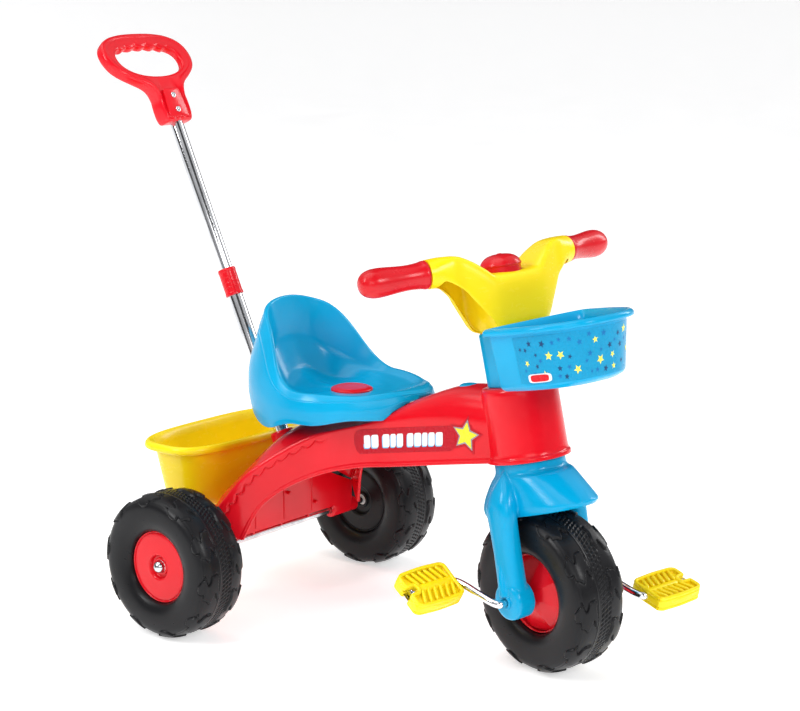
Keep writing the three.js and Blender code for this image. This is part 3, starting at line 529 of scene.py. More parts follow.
# ---------------------------------------------------------------- cranks and pedals
POST_LEAN = 13  # degrees
THROW = 74  # from the wheel's axis to a pedal's spindle
CRANK = STEER @ turn("X", POST_LEAN + 11.3)


def cranks():
    bend = [(85, 0), (89, 6), (93, 34), (95, 58), (99, 71), (105, THROW), (114, THROW)]
    pts = [(-174, THROW, 0), *((-x, r, 0) for x, r in reversed(bend)), (-80, 0, 0), (0, 0, 0), (80, 0, 0),
           *((x, -r, 0) for x, r in bend), (174, -THROW, 0)]
    rod = sweep(catmull(pts, np.linspace(0, 1, 260)), 5.0, 28)
    piece("crank_bar", rod, CRANK, CHROME, "front_wheel", ["crank_rod"])
    for side, word in SIDES:
        cap = lathe([(5.3, 0), (6.7, 0), (6.7, 2.2), (5.2, 3.0), (5.3, 3.0)], 40, 0.3)
        at = CRANK @ Matrix.Translation((side * 0.170, -side * THROW * MM, 0))
        piece(f"spindle_cap_{word}", across(cap, side), at, CHROME, "front_wheel", [f"pedal_cap_{word}"])


def pedal_outline():
    """Outline in x, along the spindle, and y, with a notch at the outer end."""
    hx, hy, notch = 38.5, 28, 15.5
    low = [(-hx, -hy + 4), (-hx + 5, -hy), (0, -hy - 3.2), (hx - 5, -hy), (hx, -hy + 4), (hx, -8),
           (hx - notch + 3, -7.6)]
    corners = [*low, (hx - notch, 0), *((x, -y) for x, y in low[::-1]), (-hx, 0), low[0]]
    out = soften(corners, [0, 3, 14, 3, 3, 1.5, 3, 5, 3, 1.5, 3, 3, 14, 3, 3, 0, 0], 5)[:-1]
    kept = [out[0]]
    for point in out[1:]:
        if np.linalg.norm(point - kept[-1]) > 0.4:
            kept.append(point)
    return np.array([*kept, kept[0]])


def pedal(side, word, pitch):
    """Thin slab with open slots between diagonal ribs in two rows on both faces, and a frame round them."""
    outline = pedal_outline()
    inset = outline * (1 - 2.9 / np.maximum(np.linalg.norm(outline, axis=1), 1)[:, None])
    parts = [laid(outline_slab(outline, 8, 1.2), -4)]
    t = np.linspace(0, 1, 9)[:, None]
    fat = 2.5 * np.sqrt(np.clip(1 - (2 * t[:, 0] - 1) ** 6, 0.02, 1))
    for face in (-1, 1):
        for row in (-1, 1):
            for k in range(6):
                x = -28 + k * 9.6
                p0 = np.array([x - 3.4, row * 3, face * 7.5])
                p1 = np.array([x + 5.6, row * 25, face * 7.5])
                parts.append(sweep(p0 + (p1 - p0) * t, fat, 10))
        for level in (3.4, 7.6):
            parts.append(sweep([(x, y, face * level) for x, y in inset], 2.7, 10))
    parts.append(across(lathe([(5.4, -38), (8.2, -38), (8.2, 22), (5.4, 22)], 32, 0.5)))
    data = placed(merged(*parts), Matrix.Diagonal((side, 1, 1, 1)))
    at = CRANK @ Matrix.Translation((side * 0.141, -side * THROW * MM, 0)) @ turn("X", pitch - POST_LEAN)
    piece(f"pedal_pad_{word}", data, at, YELLOW, f"pedal_{word}", [f"pedal_{word}"], angle=40)


# ---------------------------------------------------------------- fork
def fork_hood():
    """Rounded skirt over the wheel, open below; k tips each ring forward."""
    rings = [(46, 91, -6, 103, 0.10), (49, 95, -7, 109, 0.08), (50, 95, -7.5, 114, 0.05),
             (49, 87, -6, 125, 0.03), (48, 75, -5, 137, 0.02), (47, 62, -4, 149, 0.02),
             (46, 52, -4, 156, 0.02), (44.7, 47, -1, 158.5, 0), (44.5, 44.8, 0, 162, 0),
             (44.5, 44.5, 0, 172.7, 0)]
    soft = soften(rings, [0, 3, 3, 10, 10, 10, 4, 2, 2, 0], 4)

    def tipped(hx, hy, cy, z, k):
        ring = plan_ring(hx, hy, 2.2, cy, z)
        ring[:, 2] -= k * ring[:, 1]
        return ring

    outer = [tipped(*values) for values in soft]
    inner = [tipped(hx - 4.2, hy - 4.6, cy, z - 3.4 * smooth((z - 103) / 14), k)
             for hx, hy, cy, z, k in soft[:-4]]
    return loft([*outer[::-1], *inner])


def fork_leg(side):
    # z, inner x, outer x, half depth, power: the leg ends in a pointed arch on the side of the hood
    levels = [(-2, 45.6, 74.6, 22.5, 2.6), (24, 45.6, 73.6, 20.5, 2.6), (60, 45.6, 73, 19.6, 2.6),
              (96, 45.6, 73.4, 20.6, 2.6), (112, 45.6, 73.6, 22, 2.6), (126, 38, 71.5, 21.5, 2.6),
              (139, 34, 66, 18, 2.4), (150, 30, 58.5, 12.5, 2.2), (159, 26, 51, 6.5, 2),
              (165, 24, 46, 1.5, 2)]
    rings = []
    for z, x_in, x_out, hy, power in soften(levels, 8, 3):
        ring = plan_ring((x_out - x_in) / 2, hy, power, 0, z, 64)
        ring[:, 0] += side * (x_in + x_out) / 2
        rings.append(ring)
    boss = lathe([(0.01, -14.2), (24, -14.2), (24.8, -13), (24.8, 9), (23.4, 12.4), (20.5, 14.2),
                  (15, 14.9), (0.01, 14.9)], 72, [0, 1, 1, 3, 3, 2, 3, 0])
    boss = placed(across(boss, side), Matrix.Translation((side * 59.8, 0, 0)))
    # drop-shaped relief running up from the boss
    drop = [(side * (73.4 + 1.5 * math.sin(k / 9 * math.pi)), 1 + 1.6 * k / 9, 8 + 4.2 * k)
            for k in range(10)]
    return [loft(rings), boss, sweep(drop, [7.4 - 0.68 * k for k in range(10)], 20)]


def fork():
    parts = [fork_hood(), *fork_leg(-1), *fork_leg(1)]
    obj = piece("fork_shell", merged(*parts), STEER, BLUE, "steering", ["fork"], angle=0)
    blend = obj.modifiers.new("blend", "REMESH")
    blend.mode = "VOXEL"
    blend.voxel_size = 0.0012
    blend.use_smooth_shade = True
    even_out = obj.modifiers.new("even", "SMOOTH")
    even_out.factor = 0.5
    even_out.iterations = 4
    # the ring round the crank's hole
    for side, word in SIDES:
        eye = lathe([(5.5, 0), (9.6, 0), (9.4, 1.6), (8.4, 2.4), (6.2, 2.0), (5.5, 0.9), (5.5, 0)], 48, 0.5)
        at = STEER @ Matrix.Translation((side * 0.0742, 0, 0))
        piece(f"fork_eye_{word}", across(eye, side), at, BLUE, "steering")


# ---------------------------------------------------------------- handlebar
BAR_SWEEP = 0.245  # how far an arm turns back, over its length beyond the bend
BAR_BEND = 90
BAR_END = 116
BAR_LEVEL = 428  # height of the grips up the steering axis
BAR_WALL = 3.2


def handlebar_ring(x, mid, hz, hy):
    """Section at x: closed in the middle, a channel along each arm, and round at the grips."""
    n = 56
    beyond = max(0.0, abs(x) - BAR_BEND)
    skew = math.copysign(beyond * BAR_SWEEP / (BAR_END - BAR_BEND), x)
    arm = float(smooth((abs(x) - 30) / 20) * smooth((113 - abs(x)) / 12))
    square = 0.40 + 0.56 * float(smooth((abs(x) - 84) / 30))
    # the front wall of each arm stops higher than its rear wall, and a channel runs between them
    a = np.linspace(math.radians(269 - 62 * arm), math.radians(-89 + 10 * arm), n)
    c, s = signed_power(np.cos(a), square), signed_power(np.sin(a), square)
    y, z = hy * c, hz * s
    k = np.linspace(0, 1, n)
    chord_y = y[0] + (y[-1] - y[0]) * k
    chord_z = z[0] + (z[-1] - z[0]) * k
    edge = np.clip(np.minimum(k, 1 - k) * 14, 0, 1)
    inner_z = (hz - BAR_WALL) * s * edge + z * (1 - edge)
    inner_y = chord_y + ((hy - BAR_WALL) * c - chord_y) * arm
    inner_z = chord_z + (inner_z - chord_z) * arm
    yy = np.r_[y, inner_y[::-1][1:-1]]
    zz = np.r_[z, inner_z[::-1][1:-1]]
    return np.stack([x - skew * yy, beyond * BAR_SWEEP + yy, mid + zz], 1)


def handlebar():
    # x, middle height, half height, half depth
    stations = [(BAR_END, BAR_LEVEL, 18.6, 17.6), (98, 427, 20, 18.6), (80, 419.5, 25.5, 21),
                (70, 410, 31, 24), (58, 397.5, 36.5, 28), (46, 385, 40, 32), (36, 379, 38.5, 34.5),
                (18, 378, 37.6, 36), (0, 378, 37.5, 36)]
    both = [(-s[0], *s[1:]) for s in stations] + stations[-2::-1]
    rings = [handlebar_ring(*values) for values in catmull(both, np.linspace(0, 1, 130))]
    obj = piece("handlebar_shell", loft(rings), STEER, YELLOW, "steering", ["handlebar"], angle=42)
    # pocket for the horn
    cutter = lathe([(0.01, 394), (26.5, 394), (26.5, 452), (0.01, 452)], 72, 0)
    carved(obj, piece("pocket_cutter", cutter, STEER, YELLOW, "steering", angle=0))


def grips():
    profile = [(10.6, 0.5), (16.6, 0.5), (18.0, 1.6), (18.1, 5), (17.0, 9.5), (16.1, 18), (15.8, 28),
               (16.6, 42), (18.0, 56), (18.7, 67), (18.0, 77), (15.2, 85), (10.4, 90), (5, 91.8), (0.01, 92)]
    sleeve = lathe(profile, 72, [0, 1, 1, 1, 3, 5, 6, 8, 8, 6, 5, 4, 4, 3, 0])
    # faint parting rib along the grip
    rib = sweep([(0, 16.0 + 0.3 * math.sin(z / 9), z) for z in np.linspace(6, 60, 14)], 0.5, 8)
    for side, word in SIDES:
        yaw = side * math.degrees(math.atan(BAR_SWEEP))
        at = turn("Z", yaw, (side * BAR_END, (BAR_END - BAR_BEND) * BAR_SWEEP, BAR_LEVEL))
        data = placed(across(merged(sleeve, rib), side), at)
        piece(f"grip_sleeve_{word}", data, STEER, RED_DEEP, "steering", [f"grip_{word}"])


def horn():
    dome = lathe([(22.5, 403), (25.4, 403), (25.6, 404.5), (25.6, 421.4), (26.8, 422.6), (27.2, 424),
                  (26.6, 425.4), (24.8, 429), (19.6, 434.2), (11, 437.2), (0.01, 438)], 80,
                 [0, 0.6, 0.6, 0.6, 0.8, 0.6, 0.8, 3, 6, 6, 0])
    rim = lathe([(2.2, 437.9), (2.6, 438.4), (3.4, 437.7)], 32, 0.2)
    piece("horn_dome", merged(dome, rim), STEER, RED_DEEP, "horn", ["horn_button"])
    fold = [(4.4, 396.6)]
    for k in range(3):
        fold += [(14, 397 + 4 * k), (11.4, 399 + 4 * k)]
    fold += [(14, 409), (4.4, 409)]
    piece("horn_bellows", lathe(fold, 64, 0.8), STEER, DARK, "steering", ["horn_squeaker"])


# ---------------------------------------------------------------- basket
def basket_ring(half_x, length, back, z):
    """Plan of the tub: a round front reaching forward and a flatter back with tight corners."""
    n, corner = 160, 14.0
    a = circle(n)
    s, c = np.sin(a), np.cos(a)
    reach = np.where(c > 0, length * np.abs(c) ** 0.85, -corner * np.abs(c) ** 0.4)
    return np.stack([half_x * signed_power(s, 0.8), -(back + corner + reach), np.full(n, z)], 1)


def basket_bracket():
    """Square sleeve round the steering post, with upright grooves down its sides."""
    walls = [(33, 34, 270.3), (36.4, 37.4, 270.3), (37, 38, 272), (38.8, 38.8, 337.5), (38, 38, 339.7),
             (34, 34, 339.7)]
    rings = []
    for hx, hy, z in soften(walls, [0, 0.6, 1, 1, 0.6, 0], 3):
        ring = plan_ring(hx, hy, 4.5, -9, z, 180)
        groove = sum(smooth((2.6 - np.abs(ring[:, 1] - centre)) / 1.2) for centre in (4, 17, -32))
        on_side = np.abs(ring[:, 0]) > hx * 0.85
        depth = 2.4 * smooth((z - 276) / 3) * smooth((335 - z) / 3)
        ring[:, 0] -= np.sign(ring[:, 0]) * groove * on_side * depth
        rings.append(ring)
    return loft(rings)


def basket():
    # half width, reach, back, height
    shell = [(1, 1, 105, 270.0), (66, 96, 45, 270.0), (74, 108, 45, 275.5), (80, 122, 45, 341),
             (80.6, 122.6, 45, 342.4), (89, 131, 44, 342.4), (90, 132, 44, 344), (90, 132, 44, 347.5),
             (86, 128, 45, 351), (82, 124, 46, 350.6), (78.5, 118.5, 48, 346.5), (76.5, 116.5, 49, 340),
             (70, 103, 50.5, 279), (62, 90, 51, 274.2), (1, 1, 105, 274.2)]
    radii = [0, 4, 5, 1.5, 1, 1, 1.2, 2.5, 3, 3, 3, 3, 5, 3, 0]
    tub = loft([basket_ring(*values) for values in soften(shell, radii, 4)])
    return piece("basket_tub", merged(tub, basket_bracket()), STEER, BLUE, "steering", ["basket"])


# ---------------------------------------------------------------- prints
PRINT_ANGLE = 60
CAST_FROM = 0.2  # metres from a surface, where a print's rays start


def surface_of(obj):
    mesh = evaluated_mesh(obj)
    mesh.transform(obj.matrix_world)
    tree = BVHTree.FromPolygons([v.co.copy() for v in mesh.vertices],
                                [tuple(p.vertices) for p in mesh.polygons])
    bpy.data.meshes.remove(mesh)
    return tree


def star_outline(radius, inner, spin):
    out = []
    for k in range(10):
        r = radius * (inner if k % 2 else 1)
        a = spin + math.pi * k / 5 + math.pi / 2
        out.append((r * math.cos(a), r * math.sin(a)))
    return out


def rounded_box(half_u, half_v, power, n):
    """Outline of a rounded rectangle round the origin."""
    a = circle(n)
    return np.stack([half_u * signed_power(np.cos(a), power), half_v * signed_power(np.sin(a), power)], 1)


def stick(tree, outlines, at, ray, lift):
    """Projects flat outlines onto a surface; ray gives a start and a way for each flat point."""
    verts, faces = [], []
    inverse, rotation = at.inverted(), at.to_3x3()
    for outline in outlines:
        pts = np.array(outline, float)
        n = len(pts)
        base = len(verts)
        centre = pts.mean(0)
        flat = [*pts, *(centre + (pts - centre) * 0.66), *(centre + (pts - centre) * 0.33), centre]
        for u, v in flat:
            start, way = ray(u, v)
            start, way = at @ Vector(start), rotation @ Vector(way)
            hit, normal, _, _ = tree.ray_cast(start, way)
            if hit is None:
                hit, normal = start, -way
            if normal.dot(way) > 0:
                normal = -normal
            verts.append(tuple((inverse @ (hit + normal.normalized() * lift)) / MM))
        faces += [tuple(base + i for i in face) for face in grid_faces(3, n)]
        faces += [(base + 2 * n + i, base + 2 * n + (i + 1) % n, base + 3 * n) for i in range(n)]
    return np.array(verts), faces


# the basket's printed sheet: u in degrees round the tub from straight ahead, v the height
SHEET_LOW, SHEET_HIGH, SHEET_HALF = 278, 338, 84
SHEET_MARGIN = 6
SHEET_LIFT = 0.00025
MM_PER_DEGREE = 1.75  # round the tub's front
BADGE_AT = (-62, 286)
BADGE_HALF = (12, 5.5)


def round_tub(u, v):
    a = math.radians(u)
    x, y = math.sin(a), -math.cos(a)
    return (x * CAST_FROM, -0.085 + y * CAST_FROM, v * MM), (-x, -y, 0.0)


def basket_film(tree):
    """A fine grid that follows the tub's curved front, its lower corners cut a little."""
    cols, rows = 90, 14
    verts = []
    for v in np.linspace(SHEET_LOW, SHEET_HIGH, rows):
        for u in np.linspace(-SHEET_HALF, SHEET_HALF, cols):
            side_gap, low_gap = SHEET_HALF - abs(u), v - SHEET_LOW
            cut = 0.0
            if low_gap < SHEET_MARGIN and side_gap < SHEET_MARGIN:
                cut = 2.5 * (1 - min(side_gap * 1.3 / 5, low_gap / 5, 1))
            start, way = round_tub(u, v + cut)
            way = STEER.to_3x3() @ Vector(way)
            hit, _, _, _ = tree.ray_cast(STEER @ Vector(start), way)
            verts.append(tuple((STEER.inverted() @ (hit - way * SHEET_LIFT)) / MM))
    ink = film("film_blue", (0.0, 0.27, 0.50), (0.0, 0.31, 0.56))
    piece("basket_film", (np.array(verts), grid_faces(rows, cols, False)), STEER, ink, "steering")


def basket_print(obj):
    tree = surface_of(obj)
    basket_film(tree)

    def print_on(name, low, high, outlines, lift):
        ink = film(name, low, high)
        data = stick(tree, outlines, STEER, round_tub, lift)
        piece(f"print_{name}", data, STEER, ink, "steering", angle=PRINT_ANGLE)

    rng = random.Random(7)
    reach = SHEET_HALF - SHEET_MARGIN
    used = []
    for name, low, high, count, sizes in (
            ("star_yellow", (0.90, 0.85, 0.08), (0.96, 0.92, 0.16), 12, (4.2, 7.2)),
            ("star_navy", (0.004, 0.045, 0.14), (0.008, 0.06, 0.19), 30, (2.8, 5.6)),
            ("star_sky", (0.0, 0.14, 0.40), (0.005, 0.17, 0.46), 22, (2.6, 5.0))):
        outlines = []
        for _ in range(4000):
            if len(outlines) == count:
                break
            u = rng.uniform(-reach, reach)
            v = rng.uniform(SHEET_LOW + SHEET_MARGIN, SHEET_HIGH - SHEET_MARGIN)
            size = rng.uniform(*sizes)
            if any(math.hypot((u - a) * 1.6, v - b) < size + s + 1.6 for a, b, s in used):
                continue
            used.append((u, v, size))
            star = star_outline(size, 0.42, rng.uniform(0, 2 * math.pi))
            outlines.append([(u + x / MM_PER_DEGREE, v + y) for x, y in star])
        print_on(name, low, high, outlines, 0.00045)
    # a plain rounded badge in the lower corner
    for name, low, high, grow, lift in (
            ("badge_white", (0.80, 0.82, 0.85), (0.88, 0.90, 0.92), 1.0, 0.0008),
            ("badge_red", (0.62, 0.006, 0.012), (0.70, 0.010, 0.018), 0.78, 0.0012)):
        badge = rounded_box(BADGE_HALF[0] * grow, BADGE_HALF[1] * grow, 0.45, 40) + BADGE_AT
        print_on(name, low, high, [badge], lift)


# ---------------------------------------------------------------- body
# lines along one half of the beam, from the head tube back to the foot of the arch
LINES = {
    "edge": [(42, -412, 274), (45, -335, 260), (47, -252, 244), (51, -192, 233), (64, -134, 216),
             (88, -88, 191), (108, -64, 165), (125, -46, 119)],
    "crease": [(43, -408, 325), (45, -345, 323), (48, -264, 310), (57, -192, 291), (74, -142, 274),
               (98, -104, 250), (128, -62, 216), (155, -8, 143)],
    "shoulder": [(36, -400, 350), (38, -342, 348), (42, -268, 324), (50, -196, 291), (62, -140, 277),
                 (79, -88, 267), (96, -43, 223), (113, 4, 171)],
    "crown": [(20, -396, 361), (22, -340, 357), (25, -270, 331), (30, -200, 299), (38, -145, 286),
              (46, -92, 277), (53, -44, 246), (59, 2, 201)],
    "top": [(0, -395, 362), (0, -340, 359), (0, -270, 333), (0, -205, 302), (0, -150, 290), (0, -97, 283),
            (0, -46, 258), (0, 2, 216)],
}
BODY_STEPS = 260
CORNER_STEPS = 7
FLAT_STEPS = 22
BODY_WALL = 3.2
# column of a section's points where its crease is
CREASE_COLUMN = 1 + (CORNER_STEPS + 1) * 3 // 2 + 2 * (FLAT_STEPS - 1)


def refined(row):
    """Adds points on the straight runs between the rounded corners of a section."""
    out = []
    for i, (a, b) in enumerate(zip(row[:-1], row[1:])):
        parts = FLAT_STEPS if i % (CORNER_STEPS + 1) == 0 else 1
        out += [a + (b - a) * k / parts for k in range(parts)]
    return np.array([*out, row[-1]])


def sheet_normals(rows):
    """Unit normals of a grid of points, pointing up in its middle."""
    normal = np.cross(np.gradient(rows, axis=0), np.gradient(rows, axis=1))
    normal /= np.maximum(np.linalg.norm(normal, axis=2), 1e-9)[:, :, None]
    middle = normal[rows.shape[0] // 2, rows.shape[1] // 2]
    return -normal if middle[2] < 0 else normal


def body_skin():
    t = np.linspace(0, 1, BODY_STEPS)
    lines = [catmull(points, t) for points in LINES.values()]
    rows = []
    for here, half in zip(t, zip(*lines)):
        edge, crease, shoulder, crown, top = half
        side = [edge, edge * 0.55 + crease * 0.45, crease, shoulder, crown]
        bend = 7 - 3 * smooth((here - 0.35) / 0.3)
        radii = [0, 6, bend, 14, 10, 8, 10, 14, bend, 6, 0]
        section = [*(p * MIRROR for p in side), top, *side[::-1]]
        rows.append(refined(soften(section, radii, CORNER_STEPS)))
    rows = np.array(rows)
    normal = sheet_normals(rows)
    width = np.linalg.norm(np.diff(rows, axis=1), axis=2)
    round_section = np.concatenate([np.zeros((BODY_STEPS, 1)), np.cumsum(width, axis=1)], axis=1)
    last = rows.shape[1] - 1
    lift = np.zeros(rows.shape[:2])
    # scalloped band above the crease of each leg
    scallop = 7 + 6.0 * np.abs(np.sin(run_along(lines[1]) / 20.0 * math.pi))[:, None]
    strength = (smooth((t - 0.50) / 0.10) * smooth((1.01 - t) / 0.03))[:, None]
    for column, sign in ((CREASE_COLUMN, -1), (last - CREASE_COLUMN, 1)):
        d = (round_section - round_section[:, column:column + 1]) * sign
        band = smooth((d + 7) / 5.0) * smooth((scallop - d) / 1.6)
        groove = np.exp(-((scallop - d) / 1.6) ** 2)
        lift += (2.2 * band - 1.6 * groove) * strength
    # slim raised border just above the arch
    for column, sign in ((0, 1), (last, -1)):
        d = (round_section - round_section[:, column:column + 1]) * sign
        lift += smooth((5.0 - d) / 1.6)
    return rows + normal * lift[:, :, None]


def body_shell():
    """The skin given its wall, with a soft bead round the edge of the arch."""
    rows = body_skin()
    n_rows, n_cols = rows.shape[:2]
    inner = rows - sheet_normals(rows) * BODY_WALL
    base = n_rows * n_cols
    sheet = grid_faces(n_rows, n_cols, False)
    faces = sheet + [tuple(base + i for i in reversed(f)) for f in sheet]
    index = np.arange(base).reshape(n_rows, n_cols)
    for line in (index[:, 0], index[:, -1], index[0], index[-1]):
        faces += [(a, b, base + b, base + a) for a, b in zip(line[:-1].tolist(), line[1:].tolist())]
    skin = (np.vstack([rows.reshape(-1, 3), inner.reshape(-1, 3)]), faces)
    beads = [sweep((rows[:, col] * 0.5 + inner[:, col] * 0.5)[::2], 2.2, 10) for col in (0, -1)]
    return [skin, *beads]


def rear_wall():
    """Wall across the saddle with ribs and pegs, and the tubes that carry the axle."""
    line = closed_by_mirror([(0, 109), (110, 109), (114, 98), (150, 98), (152, 140), (138, 146), (112, 158),
                             (84, 173), (58, 186), (28, 198), (0, 202)])
    wall = outline_slab(soften(line, [0, 2, 2, 5, 3] + [4] * 13 + [5, 2, 2], 3), 6, 1.0)
    parts = [placed(wall, Matrix.Translation((0, -11, 0)))]
    for x in (-60, 0, 60):
        parts.append(sweep([(x, -11.0, z) for z in np.linspace(114, 186 - abs(x) * 0.35, 12)], 1.2, 10))
    for x, z in ((-70, 140), (8, 152), (66, 126)):
        peg = lathe([(0.01, 0), (2.8, 0), (2.6, 4.5), (1.9, 5.3), (0.01, 5.5)], 28, 0.6)
        parts.append(placed(peg, turn("X", 90, (x, -11, z))))
    for side, _ in SIDES:
        tube = lathe([(5.4, 112), (10.5, 112), (10.5, 165.5), (5.4, 165.5)], 48, 0.8)
        parts.append(placed(across(tube, side), Matrix.Translation((0, 0, 100))))
    return parts


def bucket_shelf():
    rim = [(-60, -6), (60, -6), (60, 118), (50, 121), (-50, 121), (-60, 118), (-60, -6)]
    parts = [laid(outline_slab(soften(rim, [0, 2, 6, 4, 4, 6, 0], 3), 5, 1.2), 132.7)]
    web = [(-6, 104), (118, 131.5), (118, 134), (-6, 134), (-6, 104)]
    slab = outline_slab(soften(web, [0, 2, 1, 0, 0], 3), 3.4, 0.8)
    for x in (-58.2, 0, 58.2):
        parts.append(placed(slab, Matrix(((0, 1, 0, x - 1.7), (1, 0, 0, 0), (0, 0, 1, 0), (0, 0, 0, 1)))))
    return parts


def frame_body():
    data = merged(*body_shell(), *rear_wall(), *bucket_shelf())
    obj = piece("body_shell", data, HOME, RED, "body", ["frame_body"], angle=40)
    # head tube with its lip, round the steering post
    tube = [(46.5, 173.2), (54.4, 173.2), (54.5, 175), (54.2, 178.6), (52.4, 180), (51.6, 184), (50.4, 240),
            (49.9, 262), (48.4, 267.6), (45, 270), (16.2, 270), (16.2, 257), (15.9, 190), (15.9, 173.5),
            (46.5, 173.2)]
    head = lathe(tube, 128, [0, 0.8, 1, 1.2, 1.2, 2, 10, 4, 3, 3, 1, 0.5, 0.5, 0.5, 0])
    piece("head_tube", head, HEAD, RED, "body")
    # sleeve that takes the push bar
    sleeve = lathe([(14.5, 3), (17, 3), (17, 55), (16, 58), (14.5, 58), (14.5, 3)], 56, 0.9)
    piece("bar_sleeve", sleeve, BAR, RED, "body")
    cap = lathe([(0.01, 3.9), (9.5, 3.9), (11.6, 3.1), (13.4, 1.4), (13.5, -3), (0.01, -3)], 56,
                [0, 2, 2, 1, 0.5, 0])
    cap_at = HOME @ turn("X", -math.degrees(0.06), (0, -0.342, 0.356))
    piece("beam_plug", cap, cap_at, BLUE, "body", ["body_cap"])
    return obj


PRINT_SLOPE = -0.18  # rise of the printed band along the beam
PRINT_START = (-232, 275)
STAR_AT = -370
BLOCK_HALF_HEIGHT = 9.0


def centre_line(u):
    """Height of the printed band's middle at u along the beam."""
    return PRINT_START[1] + PRINT_SLOPE * (u - PRINT_START[0])


def band_outline(u0, u1, half):
    """Band from u0 to u1 along the beam with bulging ends."""
    lower = [(u, centre_line(u) - half) for u in np.linspace(u0, u1, 26)]
    upper = [(u, centre_line(u) + half) for u in np.linspace(u1, u0, 26)]
    ends = []
    for u, sign in ((u1, 1), (u0, -1)):
        ends.append([(u + sign * half * 0.5 * math.sin(a), centre_line(u) - sign * half * math.cos(a))
                     for a in np.linspace(0.5, 2.6, 6)])
    return lower + ends[0] + upper + ends[1]


def block_outlines():
    """Three groups of plain rounded blocks, leaning with the band."""
    blocks = []
    u = -206.0
    for group in (2, 3, 5):
        for k in range(group):
            w = (5.6, 4.2, 5.0)[(group + k) % 3]
            u -= w
            box = rounded_box(w, BLOCK_HALF_HEIGHT, 0.35, 24)
            box[:, 1] += PRINT_SLOPE * box[:, 0]
            blocks.append(box + (u, centre_line(u)))
            u -= w + 1.8
        u -= 5.0
    return blocks


def beam_print(obj):
    """Generic band, blocks and star on both sides of the beam."""
    tree = surface_of(obj)
    dark, white, sky_blue, yellow, grey = (film(name, low, high) for name, low, high in (
        ("ink_dark_red", (0.45, 0.0, 0.01), (0.52, 0.004, 0.015)),
        ("ink_white", (0.85, 0.87, 0.9), (0.93, 0.95, 0.97)),
        ("ink_sky", (0.10, 0.50, 0.85), (0.14, 0.56, 0.9)),
        ("ink_yellow", (0.95, 0.72, 0.02), (1.0, 0.8, 0.05)),
        ("ink_grey", (0.28, 0.28, 0.32), (0.34, 0.34, 0.38))))
    blocks = block_outlines()
    shade = [box + (1.3, -1.6) for box in blocks]
    stars = [np.array(star_outline(radius, inner, 0.12)) + (STAR_AT, centre_line(STAR_AT) + 3)
             for radius, inner in ((27, 0.54), (21.5, 0.5), (18.2, 0.47))]
    band = band_outline(-345, -199, 17.0)
    layers = (("band", [band], 0.0005, dark), ("star_edge", stars[:1], 0.00055, dark),
              ("star_line", stars[1:2], 0.0008, grey), ("star", stars[2:], 0.00105, yellow),
              ("bars_shade", shade, 0.0008, sky_blue), ("bars", blocks, 0.00105, white))
    for side, word in SIDES:
        def ray(u, v, side=side):
            return (side * CAST_FROM, u * MM, v * MM), (-side, 0, 0)

        for name, outlines, lift, ink in layers:
            data = stick(tree, outlines, HOME, ray, lift)
            piece(f"{name}_{word}", data, HOME, ink, "body", angle=PRINT_ANGLE)


# ---------------------------------------------------------------- seat
SEAT_RIM, SEAT_RISE = 336, 106  # height of the rim in front, and how much higher it is behind
SEAT_MIDDLE = -120


def seat_rise(y):
    """0 at the front of the seat, 1 at its back."""
    return smooth((y + 132) / 118)


def seat_rim(y):
    return SEAT_RIM + SEAT_RISE * seat_rise(y) + 6 * smooth((-205 - y) / 50)


def seat_floor(y):
    """The lower edge, lifted where the beam passes under the nose."""
    return 293 + 27 * smooth((y + 90) / 100) + 10 * smooth((-150 - y) / 60) + 18 * smooth((-236 - y) / 26)


def seat_bowl(y):
    return 324 + 19 * smooth((-190 - y) / 70) + 4 * seat_rise(y)


def seat_ring(hx, hy, bowl, rim, floor, dz):
    """Ring of the shell; its height is a mix of the bowl's, the rim's and the floor's."""
    a = circle(160)
    s, c = np.sin(a), np.cos(a)
    nose = smooth(-c)
    y = SEAT_MIDDLE + (hy + np.where(c < 0, 22, 0)) * c
    z = bowl * seat_bowl(y) + rim * seat_rim(y) + floor * seat_floor(y) + dz
    raised = smooth((z - SEAT_RIM) / SEAT_RISE)
    x = hx * (1 - 0.14 * nose - 0.08 * raised) * signed_power(s, 1 + 0.25 * nose - 0.3 * smooth(c))
    return np.stack([x, y - 18 * raised, z - 38 * seat_rise(y) * (x / hx) ** 2], 1)


def beam_solid():
    """The beam's section line filled and grown a little, to cut room for it."""
    grow = [np.array(g) for g in ((0.3, 0, 0), (0.3, 0, 0.1), (0.3, 0, 0.3), (0.1, 0, 0.4), (0, 0, 0.4))]
    lines = [catmull(points, np.linspace(0, 1, 40)) + g for points, g in zip(LINES.values(), grow)]
    return loft([[*(p * MIRROR for p in half[:-1]), *half[::-1]] for half in zip(*lines)])


